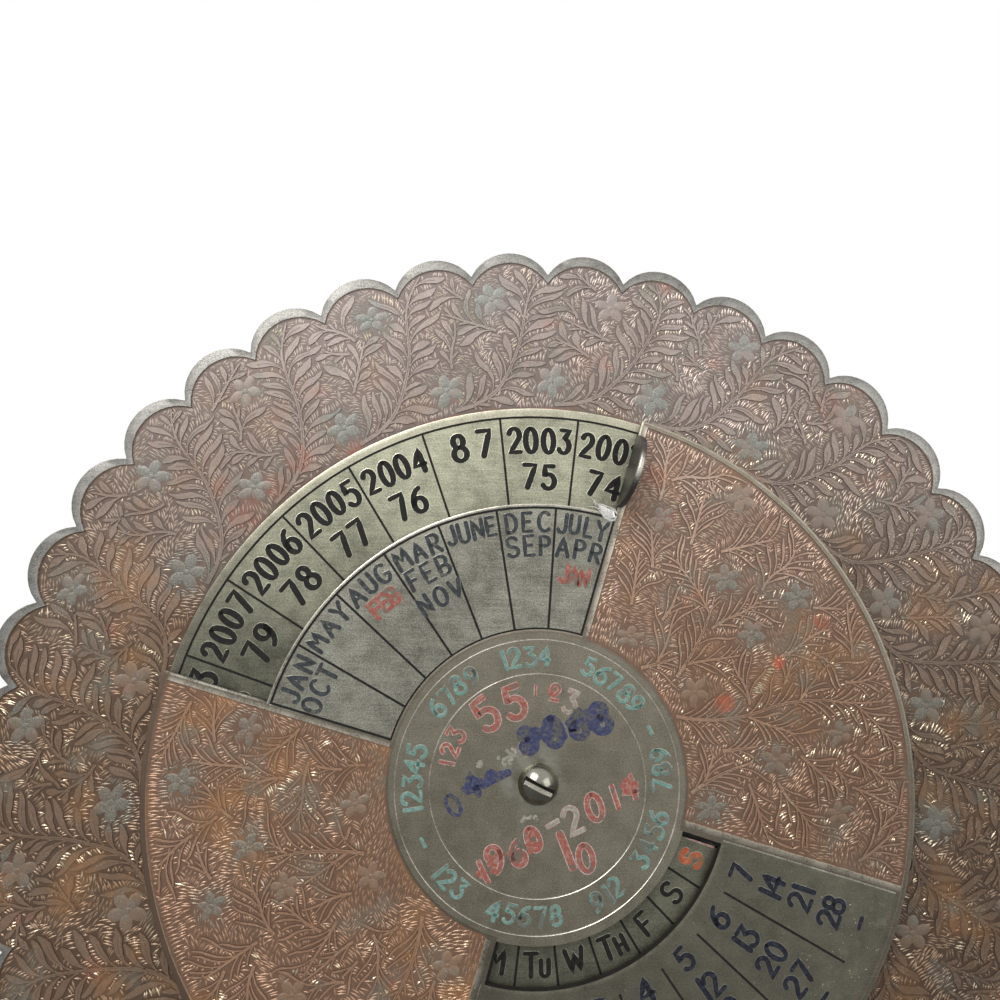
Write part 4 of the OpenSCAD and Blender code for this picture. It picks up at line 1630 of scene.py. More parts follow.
    def sweep(self, name: str, shoots: Sequence[Shoot], scroll: Scroll, material: Material,
              rise: float, shoulder: float) -> Object:
        """Sweeps a flat ridge along shoots.

        Args:
            name: Name of the piece.
            shoots: What the ridge runs along.
            scroll: The scroll that the shoots belong to.
            material: Material of the ridge.
            rise: Height of the ridge over the sunk ground.
            shoulder: Width of its flat top, where its foot is 2 wide.

        Returns:
            The piece.
        """
        points, edges, halves = [], [], []
        for shoot in shoots:
            picked = sorted({*range(0, len(shoot.path), 2), len(shoot.path) - 1})
            for n, k in enumerate(picked):
                if n:
                    edges.append((len(points) - 1, len(points)))
                points.append(shoot.path[k])
                halves.append(shoot.halves[k])
        source = self.source(name, points, edges, half=halves, wash=[scroll.wash(*point) for point in points])
        graph, sockets, values = self.tree(name, material, Height=rise, Shoulder=shoulder)
        curves = graph.out("GeometryNodeMeshToCurve", None, {"Mesh": sockets["Geometry"]})
        upright = graph.out("GeometryNodeSetCurveNormal", {"mode": "Z_UP"}, {"Curve": curves})
        profile = graph.out("GeometryNodeCurvePrimitiveQuadrilateral", {"mode": "TRAPEZOID"}, {
            "Bottom Width": 2.0, "Top Width": sockets["Shoulder"], "Height": 1.0, "Offset": 0.0})
        swept = graph.out("GeometryNodeCurveToMesh", None, {
            "Curve": upright, "Profile Curve": profile, "Scale": graph.carried("half"), "Fill Caps": True})
        place = graph.out("GeometryNodeInputPosition")
        height = graph.part(place, "Z")
        kept = height.math("GREATER_THAN", height, self.floor) * Value(graph, sockets["Height"]) + self.floor
        flat = graph.out("GeometryNodeSetPosition", None, {
            "Geometry": swept, "Position": graph.vector(X=graph.part(place, "X"), Y=graph.part(place, "Y"), Z=kept)})
        return self.finish(name, graph, flat, sockets["Finish"], values, source)

    def flowers(self, name: str, scroll: Scroll, material: Material) -> Object:
        """Sets a flower of five round petals on every flower's place.

        Args:
            name: Name of the piece.
            scroll: The scroll.
            material: Material of the piece.

        Returns:
            The piece.
        """
        _, _, turns, sizes = zip(*scroll.flowers)
        source = self.source(name, scroll.flowers, turn=np.radians(turns), size=sizes,
                             tall=[size * scroll.rng.uniform(0.72, 1.0) for size in sizes])
        graph, sockets, values = self.tree(name, material, Petals=5, Height=self.top - self.floor)
        petal, heart = (graph.out("GeometryNodeMeshUVSphere", None, {"Segments": 10, "Rings": 6, "Radius": 1.0})
                        for _ in range(2))
        ring = graph.out("GeometryNodeMeshCircle", None, {"Vertices": sockets["Petals"], "Radius": 0.54})
        turn = graph.value("GeometryNodeInputIndex") * (2 * math.pi) / Value(graph, sockets["Petals"])
        petals = graph.out("GeometryNodeInstanceOnPoints", None, {
            "Points": ring, "Instance": petal, "Rotation": graph.rotation(turn), "Scale": (0.5, 0.33, 1.0)})
        middle = graph.out("GeometryNodeTransform", None, {"Geometry": heart, "Scale": (0.2, 0.2, 1.15)})
        joined = graph.node("GeometryNodeJoinGeometry")
        for part in (petals, middle):
            graph.tree.links.new(part, joined.inputs[0])
        flower = graph.out("GeometryNodeRealizeInstances", None, {"Geometry": joined.outputs[0]})
        scale = graph.vector(X=graph.carried("size"), Y=graph.carried("tall"), Z=sockets["Height"])
        set_on = graph.out("GeometryNodeInstanceOnPoints", None, {
            "Points": sockets["Geometry"], "Instance": flower, "Rotation": graph.rotation(graph.carried("turn")),
            "Scale": scale})
        piece = self.finish(name, graph, set_on, sockets["Finish"], values, source)
        return shade_smooth(piece, PETAL_CREASE)


# ------------ sub-assemblies


@dataclass
class Assembly:
    """A group of pieces that ride on one body."""

    plate: PlateFrame
    palette: Palette
    nodes: dict[str, Object]
    body: str = "plate"
    INKS = ()

    def keep(self, piece: Object, slot: str, *replaced: str) -> None:
        """Lets a piece ride on the body, and reports it.

        Args:
            piece: The piece.
            slot: Name of the record's material slot; not used.
            replaced: CAD nodes that it stands for.
        """
        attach(piece, self.body)
        if replaced:
            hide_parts(*replaced)
        LOG.info("%s: %d faces", piece.name, len(piece.data.polygons))

    def piece(self, pile: Pile, name: str, finishes: Sequence[Finish], frame: PlateFrame | None = None) -> Object:
        """Makes a piece from its faces.

        Args:
            pile: Its faces.
            name: Name of the piece.
            finishes: Its finishes, by slot.
            frame: Frame of the faces, if it isn't the plate's.

        Returns:
            The piece.
        """
        return pile.mesh(name, (frame or self.plate).to_world, [self.palette(f) for f in finishes])

    def engrave(self, sheet: str, slot: str, sunk: float, scroll: Scroll, finishes: Sequence[Lacquer]) -> None:
        """Cuts a scroll into a sheet, one piece for each kind of work.

        Args:
            sheet: First word of the pieces' names.
            slot: Material slot of the record for all but the flowers.
            sunk: Depth of the sunk ground.
            scroll: The scroll.
            finishes: Finishes of the hatching, foliage, grooves, veins and flowers.
        """
        engraver = Engraver(self.top, self.top - sunk, self.plate.to_world)
        works = (engraver.hatching, engraver.foliage, engraver.grooves, engraver.veins, engraver.flowers)
        for work, finish in zip(works, finishes):
            kind = work.__name__
            piece = work(f"{sheet}_{kind}", scroll, self.palette(finish))
            self.keep(piece, "teal_enamel" if kind == "flowers" else slot)

    def punch(self, rng: random.Random, ink: Finish, burr: Finish, height: float, nib: Point2, gap: float = 0.5,
              **shape: float) -> Punch:
        """Punch for marks in the face of this assembly's sheet.

        Args:
            rng: Source of its unevenness.
            ink: What fills the marks.
            burr: Finish of the burr around them.
            height: Height of the marks.
            nib: Width of their upright and of their level strokes.
            gap: Gap between two marks.
            shape: Other sizes of the punch.

        Returns:
            The punch.
        """
        return Punch(height, nib, gap, self.top, self.INKS.index(ink), self.INKS.index(burr), rng, **shape)

    def soften(self, node: str, name: str, width: float, finish: AgedMetal, slot: str) -> None:
        """Puts a copy with rounded edges in a CAD node's place."""
        self.keep(softened(self.nodes[node], name, width, self.palette(finish)), slot, node)

    def dress(self, node: str, finish: AgedMetal) -> None:
        """Gives a CAD node that stays its material."""
        mesh = self.nodes[node].data
        mesh.materials.clear()
        mesh.materials.append(self.palette(finish))
        LOG.info("%s: dressed", node)


@dataclass
class BasePlate(Assembly):
    """Scalloped base sheet with its engraved field."""

    scallops: int = 40
    rise: float = 3.7
    border: float = 1.7
    sunk: float = 0.11
    sunk_inner: float = 58.5
    field_inner: float = 59.0
    groove: float = 2.1
    inner_flowers: Point2 = (63.5, 3.0)
    outer_flowers: Point2 = (77.4, 2.8)
    flower_count: int = 23
    first_flower: float = 89.0
    TIP_R = 85.25
    BORE_R = 1.53

    def __post_init__(self) -> None:
        """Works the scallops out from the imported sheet."""
        low, high = self.plate.box(self.nodes["base_plate"])
        self.low, self.top = float(low[2]), float(high[2])
        half_pitch = math.radians(180 / self.scallops)
        notch = self.TIP_R - self.rise
        chord = notch * math.sin(half_pitch)
        sagitta = self.TIP_R - notch * math.cos(half_pitch)
        self.scallop_r = (chord**2 + sagitta**2) / (2 * sagitta)
        self.centre_r = self.TIP_R - self.scallop_r

    def outline(self, angle: float, inset: float) -> float:
        """Radius of the scalloped outline, with its arcs moved in by an inset."""
        pitch = 360 / self.scallops
        turn = math.radians((angle - 90) % pitch - pitch / 2)
        centre = self.centre_r - inset
        across = centre * math.sin(turn)
        return centre * math.cos(turn) + math.sqrt(self.scallop_r**2 - across**2)

    def in_field(self, x: np.ndarray, y: np.ndarray) -> np.ndarray:
        """Whether places lie in the engraved field.

        Args:
            x: Places to the right.
            y: Places up the plate.

        Returns:
            Whether each does.
        """
        radius = np.hypot(x, y)
        pitch = math.radians(360 / self.scallops)
        turn = (np.arctan2(y, x) - math.pi / 2) % pitch - pitch / 2
        centre = self.centre_r - self.border - 0.45
        edge = centre * np.cos(turn) + np.sqrt(self.scallop_r**2 - (centre * np.sin(turn)) ** 2)
        return (radius > self.field_inner) & (radius < edge)

    def sheet(self) -> Object:
        """Builds the sheet with its sunk field and its border line."""
        insets = (self.groove, 1.98, 1.84, self.border, 0.22, 0.07, 0.0)
        drops = (self.sunk, self.sunk + 0.1, self.sunk + 0.1, 0.0, 0.0, 0.06, 0.2)
        wears = (0.0, 0.0, 0.0, 0.45, 0.0, 0.3, 0.2)
        inner: list[Ring] = [self.BORE_R, 30.0, self.sunk_inner - 0.2, self.sunk_inner, 64.0, 70.0, 75.0]
        rings = inner + [lambda a, i=i: self.outline(a, i) for i in insets]
        count = self.scallops * 14
        rays = [(90 + k * 360 / count, 0.0) for k in range(count)]

        def zone(radius: float, angle: float) -> Zone:
            """Zone of the sheet at a place."""
            if radius < self.sunk_inner:
                return Zone.FIELD
            margin = self.outline(angle, self.border)
            if radius > margin:
                # The outermost strip of the rim takes the dark wall finish, a painted shade along the scallops' edge.
                return Zone.MARGIN if radius < self.outline(angle, 0.12) else Zone.WALL
            return Zone.BLACK_LINE if radius > self.outline(angle, self.groove) else Zone.FLOOR

        def drop(i: int, radius: float, angle: float) -> float:
            """Depth below the face at a grid point."""
            if i < len(inner):
                return self.sunk if radius > self.sunk_inner - 0.1 else 0.0
            return drops[i - len(inner)]

        def wear(i: int, radius: float, angle: float) -> float:
            """How far the metal is rubbed at a grid point."""
            return 0.0 if i < len(inner) else wears[i - len(inner)]

        pile = Pile()
        PolarSheet(rings, rays, self.low, self.top, zone, drop, wear).build(pile)
        finishes = (BACK, RIM, BASE_FLOOR, RIM, RIM, RIM, BASE_FLOOR, RIM, SHADE)
        return shade_smooth(self.piece(pile, "base_sheet", finishes), SHEET_CREASE)

    def scroll(self) -> Scroll:
        """Grows the leaf scroll around the field, with one main stem beside every inner flower."""
        rng = random.Random(11)
        scroll = Scroll(Ground(86.0, self.in_field), rng)
        pitch = 360 / self.flower_count
        turns = [self.first_flower + k * pitch for k in range(self.flower_count)]
        (near, near_size), (far, far_size) = self.inner_flowers, self.outer_flowers
        for turn in turns:
            scroll.plant_flower(*polar(near + rng.uniform(-0.5, 0.5), turn + rng.uniform(-0.8, 0.8)), near_size)
            outer = turn + pitch / 2
            scroll.plant_flower(*polar(far + rng.uniform(-0.8, 0.8), outer + rng.uniform(-1, 1)), far_size)
        for turn in turns:
            sway, tip = rng.uniform(-0.8, 0.8), rng.choice((-2.4, 1.8))
            marks = ((59.5, -0.5), (60.2, -4.4), (62.8, -8.0), (69.5, -10.8 + sway), (78.0, -12.3 + sway),
                     (83.5, -12.6 + sway + tip))
            scroll.lay_stem([polar(radius, turn + offset) for radius, offset in marks])
        scroll.grow_leaves()
        scroll.fill(16000, 2.4)
        scroll.grow_leaves()
        scroll.hatch()
        return scroll

    def build(self) -> None:
        """Builds and dresses the plate."""
        self.keep(self.sheet(), "engraved_plate", "base_plate")
        works = (BASE_HATCH, BASE_LEAF, BASE_CUT, BASE_VEIN, BASE_PETAL)
        self.engrave("base", "engraved_plate", self.sunk, self.scroll(), works)


@dataclass
class Dial(Assembly):
    """Fixed dial with a ring of years and a ring of weekdays."""

    turn: float = 1.0
    cells: int = 28
    line_r: float = 57.0
    upper_r: float = 53.2
    lower_r: float = 47.3
    weekday_r: float = 26.3
    YEARS = (2003, 1987, 2004, 2005, 2006, 2007, 2013, 2008, 2009, 2010, 1988, 1989, 1990, 1991, 2014, 1992, 1993,
             1994, 1995, 2012, 1996, 1997, 1998, 1999, 2011, 2000, 2001, 2002)
    PAIRED = 28
    LONE = 1987
    WEEKDAYS = ("M", "TU", "W", "TH", "F", "S", "S")
    CELL_RINGS = ((21.6, 31.0), (41.2, 57.0))
    INKS = (BLACK, DIAL, ORANGE, PINK)
    MONDAY_CELL = 13
    sunday_end: float = 343.6
    line_depth: float = 0.09

    def __post_init__(self) -> None:
        """Reads the dial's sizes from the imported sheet."""
        low, high = self.plate.box(self.nodes["dial_disc"])
        self.low, self.top, self.rim = float(low[2]), float(high[2]), float(high[0])
        self.borders = [90 + self.turn + (i + 0.5) * 360 / self.cells for i in range(self.cells)]

    def sheet(self) -> Object:
        """Builds the sheet with its border lines."""
        rings = (1.53, 12.0, 21.7, 24.0, 27.0, 30.9, 36.0, 41.3, 44.0, 47.0, 50.0, 53.0, *line_rings(self.line_r),
                 57.8, self.rim - 0.2, self.rim - 0.06, self.rim)
        rays = rays_beside(self.borders, LINE_RAYS, 140)
        pile = Pile()
        PolarSheet(rings, rays, self.low, self.top, self.zone, self.drop, self.wear).build(pile)
        finishes = (BACK, DIAL_BAND, DIAL, DIAL, DIAL, DIAL, BLACK, CUT, SHADE)
        return shade_smooth(self.piece(pile, "dial_sheet", finishes), SHEET_CREASE)

    def on_line(self, radius: float, angle: float, reach: float) -> bool:
        """Whether a place lies on the line around the years or on one between two cells."""
        if abs(radius - self.line_r) < reach:
            return True
        in_cells = any(inner < radius < outer for inner, outer in self.CELL_RINGS)
        return in_cells and min(abs(side_distance(radius, angle, b)) for b in self.borders) < reach

    def zone(self, radius: float, angle: float) -> Zone:
        """Zone of the sheet at a place."""
        if self.on_line(radius, angle, LINE_LIP):
            return Zone.BLACK_LINE
        return Zone.MARGIN if radius > self.line_r else Zone.FIELD

    def drop(self, i: int, radius: float, angle: float) -> float:
        """Depth below the face at a grid point."""
        if radius > self.rim - EDGE:
            return edge_drop(self.rim - radius)
        return self.line_depth if self.on_line(radius, angle, AT_FOOT) else 0.0

    def wear(self, i: int, radius: float, angle: float) -> float:
        """How far the metal is rubbed at a grid point."""
        return 0.3 if radius > self.rim - EDGE else 0.0

    def marks(self) -> Object:
        """Punches the years and the weekdays."""
        rng = random.Random(5)
        year_mark = self.punch(rng, BLACK, DIAL, 3.8, (1.02, 0.72), 1.0, slim=0.8)
        pair_mark = self.punch(rng, BLACK, DIAL, 3.75, (1.02, 0.78), 1.1, slim=0.9)
        lone_mark = self.punch(rng, BLACK, DIAL, 3.95, (1.06, 0.8), 2.0, slim=0.9)
        day_mark = self.punch(rng, BLACK, DIAL, 3.3, (0.78, 0.62), 0.35)
        last_day_mark = self.punch(rng, ORANGE, DIAL, 3.2, (1.05, 0.95), 0.35)
        pile = Pile()
        for i, year in enumerate(self.YEARS):
            angle = 90 + self.turn + i * 360 / self.cells
            if year == self.LONE:
                lone_mark.write(pile, str(year)[2:], self.upper_r, angle - 1, Tops.OUTWARD)
            else:
                year_mark.write(pile, str(year), self.upper_r, angle, Tops.OUTWARD)
                pair_mark.write(pile, str(year - self.PAIRED)[2:], self.lower_r, angle, Tops.OUTWARD)
            name = self.WEEKDAYS[(i - self.MONDAY_CELL) % 7]
            punch = last_day_mark if (i - self.MONDAY_CELL) % 7 == 6 else day_mark
            punch.write(pile, name, self.weekday_r, angle, Tops.INWARD, 0.7)
        start, end = (Vector(polar(radius, self.sunday_end)) for radius in (24.4, 29.0))
        beside = Vector((start.y, -start.x)).normalized() * 1.1
        path = [start + beside, (start + end) / 2 + beside, end + beside]
        pile.band(path, [0.1, 0.14, 0.2], self.top, self.top + 0.03, 0.7, self.INKS.index(PINK))
        return self.piece(pile, "dial_marks", self.INKS)

    def build(self) -> None:
        """Builds and dresses the dial."""
        self.keep(self.sheet(), "dial_brass", "dial_disc")
        self.keep(self.marks(), "ink_fill")
        self.dress("dial_rivets", RIVET)


@dataclass
class Cover(Assembly):
    """Cover that turns, with its windows, months, dates, hub and finger tab."""

    body: str = "cover"
    turn: float = 29.6
    cells: int = 7
    thick: float = 0.9
    rim: float = 59.0
    step_r: float = 42.8
    days_in: float = 23.2
    days_out: float = 29.4
    days_half: float = 44.0
    slope: float = 0.5
    arc_slope: float = 0.12
    months_line: float = 42.2
    months_inner: float = 23.3
    date_lines: Point2 = (32.4, 53.4)
    date_out: float = 57.4
    field_in: float = 22.9
    field_out: float = 58.15
    band: float = 1.1
    sunk: float = 0.11
    line_depth: float = 0.08
    thin_depth: float = 0.06
    window_depth: float = 0.34
    hub_lines: Point2 = (21.7, 16.5)
    MONTHS = (("JULY", "APR", "*JAN"), ("DEC", "SEP"), ("JUNE",), ("MAR", "FEB", "NOV"), ("AUG", "*FEB"), ("MAY",),
              ("JAN", "OCT"))
    MONTH_ROWS = (39.9, 36.2, 32.0)
    DATE_ROWS = (33.6, 38.8, 43.6, 48.7, 53.3)
    FLOWERS = ((-43.5, 8.5), (-53.0, 1.0), (-27.5, -2.5), (-43.0, -8.5), (-48.0, -16.5), (-37.5, -14.0), (-25.0, -12.8),
               (-13.5, -25.5), (-36.0, -29.0), (-26.0, -38.0), (33.0, 44.0), (20.0, 40.5), (30.0, 31.0), (41.5, 28.0),
               (34.0, 22.5), (14.5, 22.0), (24.5, 13.5), (47.5, 7.0), (26.5, -4.0), (46.5, -5.0), (37.0, 3.0))
    INKS = (SLATE, NIGHT, RED, TEAL, BLUE, PALE, PINK, HUB)
    REST_TURN = 1.63

    def __post_init__(self) -> None:
        """Reads the cover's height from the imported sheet."""
        low, high = self.plate.box(self.nodes["cover_disc"])
        self.low = float(low[2])
        self.top = self.low + self.thick
        self.tab_top = float(high[2])
        self.pitch = 360 / 28
        self.half = self.cells * self.pitch / 2
        self.upright = self.plate.turned(self.turn)

    def in_field(self, radius: float, angle: float, spare: float = 0.0) -> bool:
        """Whether a place, in the cover's own frame, lies in an engraved field.

        Args:
            radius: Radius of the place.
            angle: Its angle in degrees.
            spare: Distance that it also keeps from the field's sides.

        Returns:
            Whether it does.
        """
        if not self.field_in + spare < radius < self.field_out - spare:
            return False
        beside = self.band + spare
        before, after = (90, 270) if 90 < angle % 360 < 270 else (270, 90)
        return (side_distance(radius, angle, before + self.half) > beside
                and side_distance(radius, angle, after - self.half) < -beside)

    def ground(self, x: np.ndarray, y: np.ndarray) -> np.ndarray:
        """Whether places in the plate's frame lie in an engraved field.

        Args:
            x: Places to the right.
            y: Places up the plate.

        Returns:
            Whether each does.
        """
        radius = np.hypot(x, y)
        angle = np.degrees(np.arctan2(y, x)) - self.turn
        spare = 0.3
        inside = (radius > self.field_in + spare) & (radius < self.field_out - spare)
        for border, sign in ((90 + self.half, 1), (270 - self.half, -1), (270 + self.half, 1), (90 - self.half, -1)):
            turn = np.radians(turn_from(border, angle))
            beside = np.abs(turn) < math.pi / 2
            inside &= ~(beside & (np.sin(turn) * radius * sign < self.band + spare))
        return inside

    def zone(self, radius: float, angle: float) -> Zone | None:
        """Zone of the sheet at a place in the cover's own frame.

        Args:
            radius: Radius of the place.
            angle: Its angle in degrees.

        Returns:
            The zone, or None in an opening.
        """
        up = abs(turn_from(90, angle))
        down = abs(turn_from(270, angle))
        if up < self.half and radius > self.step_r:
            return None
        if down < self.days_half and self.days_in < radius < self.days_out:
            # The window's sloping edges take black paint as a painted shadow of the cover's edge.
            return None if self.in_days(radius, angle) else Zone.BLACK_LINE
        if any(abs(radius - r) < THIN_LIP for r in self.hub_lines):
            return Zone.BRIGHT_LINE
        if radius < (self.days_in if down < self.days_half else 22.6):
            return Zone.FIELD
        if self.in_field(radius, angle):
            return Zone.FLOOR
        if self.on_line(radius, angle, LINE_LIP):
            return Zone.BLACK_LINE
        if down < self.half + 0.4 and self.on_scribe(radius, angle, 0.13):
            return Zone.BRIGHT_LINE
        if up < self.half + 0.4 and self.months_inner - LINE_LIP < radius < self.step_r:
            # The bright band at the step's edge is a painted highlight of the lit cut edge.
            return Zone.MONTHS if radius < self.step_r - 0.16 else Zone.BRIGHT_LINE
        if down < self.half and self.days_out < radius < self.date_out:
            return Zone.DATES
        return Zone.MARGIN

    def in_days(self, radius: float, angle: float) -> bool:
        """Whether a place lies in the weekday window, inside its sloping edges, which are painted black as painted
        shadow.
        """
        within = self.days_in < radius < self.days_out - self.arc_slope + ON_RING
        if not within or abs(turn_from(270, angle)) > self.days_half:
            return False
        ends = (270 - self.days_half, 270 + self.days_half)
        return min(abs(side_distance(radius, angle, end)) for end in ends) > self.slope - ON_RING

    def on_scribe(self, radius: float, angle: float, reach: float) -> bool:
        """Whether a place lies on one of the bright lines at the sides of the dates."""
        return self.days_out + 0.3 < radius < self.date_out and any(
            abs(side_distance(radius, angle, 270 + side * self.half)) < reach for side in (-1, 1))

    def on_line(self, radius: float, angle: float, reach: float) -> bool:
        """Whether a place lies on a black line of the months or the dates.

        Args:
            radius: Radius of the place.
            angle: Its angle in degrees.
            reach: Half width of the line.

        Returns:
            Whether it does.
        """
        up = abs(turn_from(90, angle)) < self.half + 0.25
        if up and (abs(radius - self.months_line) < reach or abs(radius - self.months_inner) < reach):
            return True
        for i in range(self.cells + 1):
            border = 90 - self.half + i * self.pitch
            if self.months_inner < radius < self.months_line and abs(side_distance(radius, angle, border)) < reach:
                return True
            inner = 0 < i < self.cells and self.date_lines[0] < radius < self.date_lines[1]
            if inner and abs(side_distance(radius, angle, border + 180)) < reach:
                return True
        return False

    def drop(self, i: int, radius: float, angle: float) -> float:
        """Depth below the face at a grid point.

        Args:
            i: Number of its ring.
            radius: Radius of the place.
            angle: Its angle in degrees.

        Returns:
            The depth in mm.
        """
        if radius > self.rim - EDGE:
            return edge_drop(self.rim - radius)
        if any(abs(radius - r) < THIN_FOOT + 0.01 for r in self.hub_lines):
            return self.thin_depth
        if self.in_field(radius, angle, 0.1):
            return self.sunk
        if self.in_days(radius, angle):
            return self.window_depth
        if abs(radius - self.step_r) < ON_RING and abs(turn_from(90, angle)) < self.half:
            return self.thin_depth
        cut = self.on_line(radius, angle, AT_FOOT) or self.on_scribe(radius, angle, AT_FOOT)
        return self.line_depth if cut else 0.0

    def wear(self, i: int, radius: float, angle: float) -> float:
        """How far the metal is rubbed at a grid point, with painted highlights along lit cut edges.

        Args:
            i: Number of its ring.
            radius: Radius of the place.
            angle: Its angle in degrees.

        Returns:
            A share from 0 to 1.
        """
        up = abs(turn_from(90, angle))
        down = abs(turn_from(270, angle))
        # Painted highlight along the lit cut edge of the step around the months.
        if up < self.half and self.step_r - 0.1 < radius < self.step_r + 0.1:
            return 1.0
        # Painted highlight on the dates' edge of the weekday window.
        if down < self.days_half and self.days_out + 0.1 < radius < self.days_out + 0.2:
            return 0.6
        if radius > self.rim - 0.05:
            return 0.3
        if abs(radius - self.rim + 0.28) < ON_RING or abs(radius - self.field_out) < ON_RING:
            return 0.2
        # Painted highlight along the lit cut edges of the years window.
        near = [abs(side_distance(radius, angle, b)) for b in (90 - self.half, 90 + self.half)]
        if min(near) < 0.19 and radius > self.step_r:
            return 1.0
        near += [abs(side_distance(radius, angle, b)) for b in (270 - self.half, 270 + self.half)]
        return 0.75 if self.months_inner < radius < self.field_out and abs(min(near) - self.band) < ON_RING else 0.0

    def sheet(self) -> Pile:
        """Gathers the sheet with its windows, floors and lines."""
        borders = [90 - self.half + i * self.pitch for i in range(self.cells + 1)]
        inner = [line_rings(radius, THIN_FOOT, THIN_LIP) for radius in self.hub_lines]
        line, days, out = self.months_inner, self.days_out, self.field_out
        rings = sorted({1.56, 4.0, 10.0, *inner[0], *inner[1], 19.0, 22.6, self.field_in, self.field_in + 0.12,
                        self.days_in, line - LINE_FOOT + 0.02, line + LINE_FOOT, line + LINE_LIP, 26.0,
                        days - self.arc_slope, days, days + 0.14, 30.1, *self.date_lines, 37.0,
                        *line_rings(self.months_line), self.step_r - 0.16, self.step_r, 46.0, 50.0, self.date_out,
                        out - 0.14, out, out + 0.08, *(self.rim - inset for inset in (0.38, 0.28, 0.1, 0.0))})
        sectors = [(90 - self.half, -1), (90 + self.half, 1), (270 - self.half, -1), (270 + self.half, 1)]
        rays = rays_beside(borders + [b + 180 for b in borders], LINE_RAYS, 144, 1.4)
        rays += [(b, s * (self.band + o)) for b, s in sectors for o in (0.0, 0.13)]
        rays += [(b, o) for b, s in sectors[:2] for o in (0.0, s * 0.32)]
        rays += [(270 + s * self.days_half, o) for s in (-1, 1) for o in (0.0, -s * self.slope)]

        def stays(angle: float) -> bool:
            """Whether a plain ray is clear of the sides of the sunk fields."""
            ends = (270 - self.days_half, 270 + self.days_half)
            return all(abs(turn_from(b + s * 2.5, angle)) > 1.3 or angle in (b, *ends) for b, s in sectors)

        rays = sorted((ray for ray in rays if ray[1] or stays(ray[0])), key=ray_order)
        pile = Pile()
        PolarSheet(rings, rays, self.low, self.top, self.zone, self.drop, self.wear).build(pile)
        return pile

    def tab(self, pile: Pile) -> None:
        """Adds the half-round finger tab, bent up near the window's edge.

        Args:
            pile: Faces of the sheet.
        """
        length, inset, bend, back = 12.0, 2.7, 95.0, 0.6
        half = length / 2
        along = Vector(polar(1.0, 90 - self.half))
        side = Vector((-along.y, along.x))
        middle = along * (self.rim - inset - half) - side * back
        lean, out = Vector(polar(1.0, bend)), Vector(polar(1.0, bend - 90))
        columns, rows = 28, 9
        loops = []
        for c in range(columns + 1):
            x = half * math.sin(math.pi * (c / columns - 0.5)) * 0.999
            tall = math.sqrt(max(half**2 - x**2, 0.0))
            soft = min(0.25, tall / 3)
            rise = [(tall - soft) * r / rows for r in range(rows + 1)]
            corner, nook = lean * (tall - soft * 0.35), soft * 0.35
            inner = [lean * r for r in rise] + [corner + out * nook, lean * tall + out * soft]
            face = [lean * tall + out * (self.thick - soft), corner + out * (self.thick - nook)]
            face += [lean * r + out * self.thick for r in reversed(rise[1:])]
            heel = [Vector(polar(self.thick, t)) for t in (5, -15, -40, -65, -90)]
            loops.append([(*(middle + along * x + side * p.x), self.top + p.y) for p in inner + face + heel])
        first = len(pile.wear)
        pile.loft(loops, len(Zone))
        # Painted highlight: the tab's top edge is made bright, fading down its faces.
        for n in range(first, len(pile.wear)):
            pile.wear[n] = max(0.0, 1 - (self.tab_top - pile.points[n][2]) / 0.8) ** 2

    def rested(self, x: float, y: float) -> Point2:
        """Place in the cover's own frame of a place seen at rest."""
        return tuple(Matrix.Rotation(math.radians(self.REST_TURN - self.turn), 2) @ Vector((x, y)))

    def marks(self) -> Object:
        """Cuts the months and the dates, and paints the hub."""
        rng = random.Random(3)
        pile = Pile()
        month = self.punch(rng, SLATE, HUB, 2.9, (0.72, 0.56), 1.0, burr_width=0.04)
        long_month = self.punch(rng, SLATE, HUB, 2.9, (0.72, 0.56), 0.68, burr_width=0.04, slim=0.95)
        late_month = self.punch(rng, RED, HUB, 2.5, (0.85, 0.75), 0.3, burr_rise=0.02)
        for i, names in enumerate(self.MONTHS):
            angle = 90 - self.half + (i + 0.5) * self.pitch
            for radius, name in zip(self.MONTH_ROWS, names):
                punch = late_month if name.startswith("*") else long_month if len(name) > 3 else month
                punch.write(pile, name.strip("*"), radius, angle, Tops.OUTWARD)
        date = self.punch(rng, NIGHT, HUB, 3.3, (0.86, 0.7), 0.55, burr_width=0.03, shake=1.6)
        for i in range(self.cells):
            angle = 270 - self.half + (i + 0.5) * self.pitch
            for row, radius in enumerate(self.DATE_ROWS):
                number = i + 1 + 7 * row
                date.write(pile, str(number) if number <= 31 else "-", radius, angle, Tops.INWARD)
        self.hub_ring(pile, rng)
        self.hub_middle(pile, rng)
        return self.piece(pile, "cover_marks", self.INKS, self.upright)

    OUTER_GROUPS = ((176.5, "12345"), (133, "6789"), (95.5, "1234"), (51.5, "56789"))
    INNER_GROUPS = ((-155, "-"), (-134, "123"), (-96.5, "45678"), (-58, "912"), (-26, "3456"), (5.5, "789"), (24, "-"))

    def hub_ring(self, pile: Pile, rng: random.Random) -> None:
        """Paints groups of plain numbers around the hub.

        Args:
            pile: Where the marks go.
            rng: Source of their unevenness.
        """
        punch = self.punch(rng, TEAL, HUB, 2.75, (0.62, 0.52), 0.75, burr_width=0.05, shake=1.5)
        for tops, groups in ((Tops.OUTWARD, self.OUTER_GROUPS), (Tops.INWARD, self.INNER_GROUPS)):
            for angle, marks in groups:
                punch.write(pile, marks, 19.1, angle + self.REST_TURN - self.turn, tops)

